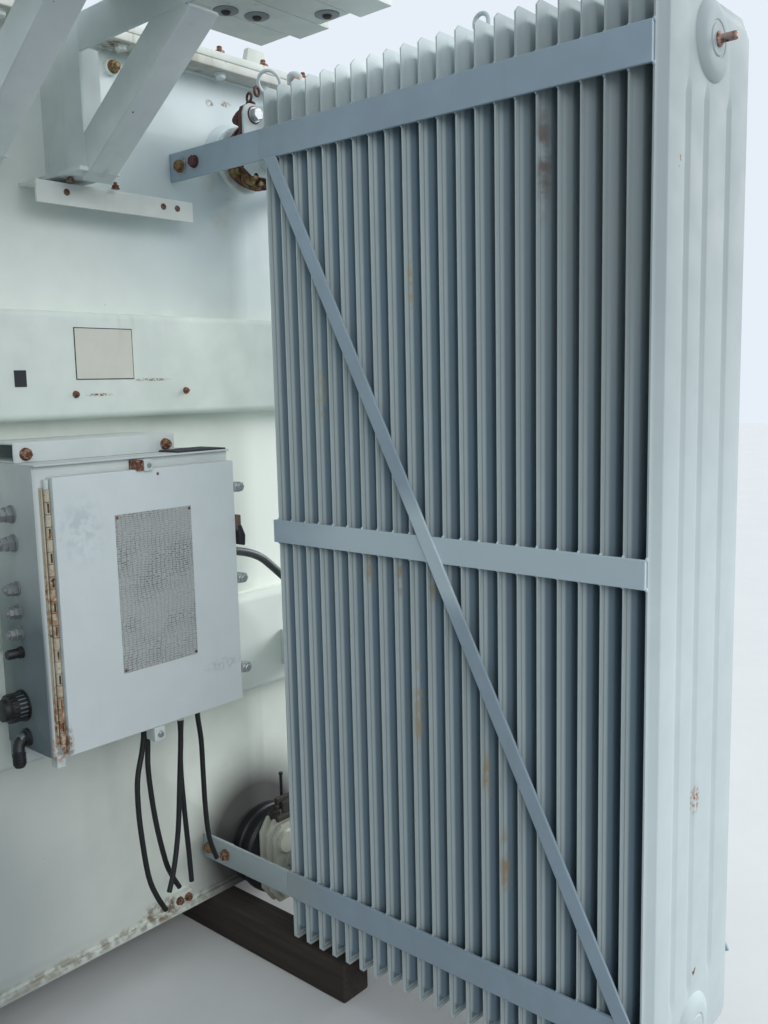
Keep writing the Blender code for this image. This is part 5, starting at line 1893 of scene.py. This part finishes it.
@dataclass
class Bushings:
    """The glazed insulators on the cover, with their caps and terminal studs."""

    cover_top: float = 2.3446
    high: tuple[Pair, ...] = ((-0.7, 0.18), (0.0, 0.18), (0.7, 0.18))
    low: tuple[Pair, ...] = ((-0.54, -0.25), (-0.18, -0.25), (0.18, -0.25),
                                            (0.54, -0.25))
    shed_shape: tuple[Pair, ...] = (
        (0.62, 0.0), (0.64, 0.14), (0.95, 0.24), (1.0, 0.29), (0.985, 0.33), (0.68, 0.50),
        (0.62, 0.58))
    cap_shape: tuple[Pair, ...] = (
        (0.60, -0.078), (0.62, -0.072), (0.62, -0.060), (0.50, -0.053), (0.18, -0.051),
        (0.16, -0.048), (0.16, -0.002), (0.13, 0.0))

    def _insulator(self, height: float, radius: float, sheds: int) -> list[Pair]:
        """Return the rings of a shedded insulator with drip edges."""
        pitch = (height - 0.12) / sheds
        rings = [(radius * 0.78, 0.020), (radius * 0.74, 0.040)]
        for i in range(sheds):
            rings += [(radius * across, 0.045 + i * pitch + pitch * up)
                      for across, up in self.shed_shape]
        return rings + [(radius * 0.58, height - 0.074)]

    def _metal(self, place: Point, height: float, radius: float) -> list[bpy.types.Object]:
        """Build one bushing's mounting ring, its nuts, cap and terminal."""
        metal = [Bench.turned("mounting_ring", [(radius * 1.35, 0.0), (radius * 1.35, 0.016),
                                                (radius * 1.28, 0.020), (radius * 0.85, 0.024)],
                              place, Axis.Z, 36),
                 Bench.turned("cap", [(radius * across, height + up)
                                      for across, up in self.cap_shape], place, Axis.Z, 24)]
        for i in range(6):
            turn = math.radians(60 * i + 15)
            spot = (place[0] + radius * 1.12 * math.cos(turn),
                    place[1] + radius * 1.12 * math.sin(turn), place[2] + 0.020)
            metal.append(Hardware.at(Fastener.NUT, spot, Axis.Z, radius * 0.22, 20 * i))
        metal.append(Hardware.at(Fastener.NUT, (place[0], place[1], place[2] + height - 0.050),
                                 Axis.Z, radius * 0.50))
        return metal

    def build(self) -> None:
        """Build the high and low voltage bushings."""
        for kind, places, height, radius, sheds in (("hv", self.high, 0.620, 0.085, 7),
                                                    ("lv", self.low, 0.300, 0.050, 3)):
            for i, (x, y) in enumerate(places, start=1):
                node = f"{kind}_bushing_{i}"
                place = (x, y, self.cover_top)
                glaze = Bench.turned(f"{kind}_insulator_{i}",
                                     self._insulator(height, radius, sheds), place, Axis.Z, 36)
                fit_piece(glaze, "brown_glaze")
                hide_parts(node)
                fit_parts(f"{kind}_fittings_{i}", self._metal(place, height, radius),
                          "terminal_metal")


@dataclass
class Studio:
    """The plain pale floor, the soft light and the camera at the photograph's angle."""

    eye: Point = (-0.801, -2.587, 1.504)
    right: Point = (0.6555, -0.7548, -0.0225)
    down: Point = (-0.1145, -0.0699, -0.9910)
    ahead: Point = (0.7464, 0.6522, -0.1323)
    lens: float = 33.75
    floor_colour: Colour = (0.74, 0.74, 0.73)
    floor_bounce: Colour = (0.36, 0.37, 0.38)
    sky_light: Colour = (0.72, 0.87, 1.00)
    sky_strength: float = 0.50
    backdrop: Colour = (0.80, 0.87, 0.95)

    def place_camera(self) -> None:
        """Put the camera where the photograph was taken from."""
        data = bpy.data.cameras.new("camera")
        data.lens = self.lens
        data.sensor_width = 36.0
        data.sensor_fit = "AUTO"
        data.clip_start = 0.05
        camera = bpy.data.objects.new("camera", data)
        bpy.context.scene.collection.objects.link(camera)
        columns = [Vector(self.right), -Vector(self.down), -Vector(self.ahead)]
        matrix = Matrix.Identity(4)
        for i, column in enumerate(columns):
            for row in range(3):
                matrix[row][i] = column.normalized()[row]
        camera.matrix_world = Matrix.Translation(self.eye) @ matrix
        bpy.context.scene.camera = camera

    def lay_floor(self) -> None:
        """Lay the floor, which isn't part of the object."""
        Bench.clear()
        bpy.ops.mesh.primitive_plane_add(size=60.0, location=(0, 0, 0))
        floor = bpy.context.object
        floor.name = "floor"
        sheet = Sheet("floor_pale", 0.9)
        mottle = sheet.group(Effects.mottle()).outputs["Mask"]
        pale = sheet.mix(mottle, self.floor_colour, tuple(c * 0.97 for c in self.floor_colour))
        seen = sheet.add("LightPath").outputs["Is Camera Ray"]
        sheet.set(Base_Color=sheet.mix(seen, self.floor_bounce, pale))
        floor.data.materials.append(sheet.material)

    def light(self) -> None:
        """Hang a soft main light, two side lights, a weak one behind, and a pale sky."""
        for name, energy, angle, pitch, turn in (("main_light", 1.0, 45.0, 64.0, 0.0),
                                                 ("right_light", 2.1, 30.0, 68.0, 67.0),
                                                 ("left_light", 0.55, 30.0, 66.0, -42.0),
                                                 ("back_light", 0.9, 40.0, 52.0, 172.0)):
            data = bpy.data.lights.new(name, "SUN")
            data.energy = energy
            data.angle = math.radians(angle)
            lamp = bpy.data.objects.new(name, data)
            bpy.context.scene.collection.objects.link(lamp)
            lamp.rotation_euler = (math.radians(pitch), 0.0, math.radians(turn))
        world = bpy.data.worlds.new("studio_sky")
        bpy.context.scene.world = world
        world.use_nodes = True
        nodes = Nodes(world.node_tree)
        nodes.tree.nodes.clear()
        rays = nodes.add("LightPath").outputs
        seen = nodes.maths("MAXIMUM", rays["Is Camera Ray"], rays["Is Glossy Ray"])
        seen = nodes.maths("MAXIMUM", seen, rays["Is Transmission Ray"])
        glow = nodes.add("Background", {"Color": self.sky_light, "Strength": self.sky_strength})
        backdrop = nodes.add("Background", {"Color": self.backdrop})
        mix = nodes.add("MixShader", {"Fac": seen, 1: glow.outputs["Background"],
                                      2: backdrop.outputs["Background"]})
        nodes.add("OutputWorld", {"Surface": mix.outputs["Shader"]})
        bpy.context.scene.view_settings.view_transform = "Standard"


def write_sizes() -> None:
    """Bring the view layer up to date."""
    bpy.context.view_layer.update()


def main() -> None:
    """Build the pieces in order, then the studio's light."""
    logging.basicConfig(level=logging.INFO)
    studio = Studio()
    studio.place_camera()
    wiring = Wiring()
    wiring.build_tails()
    wiring.build_conduit()
    RadiatorBanks().build()
    PipeJoints().build()
    TankShell().build()
    Steelwork().build()
    ControlCabinet().build()
    Bushings().build()
    Hardware.put_away()
    studio.lay_floor()
    studio.light()
    write_sizes()


if __name__ == "__main__":
    main()
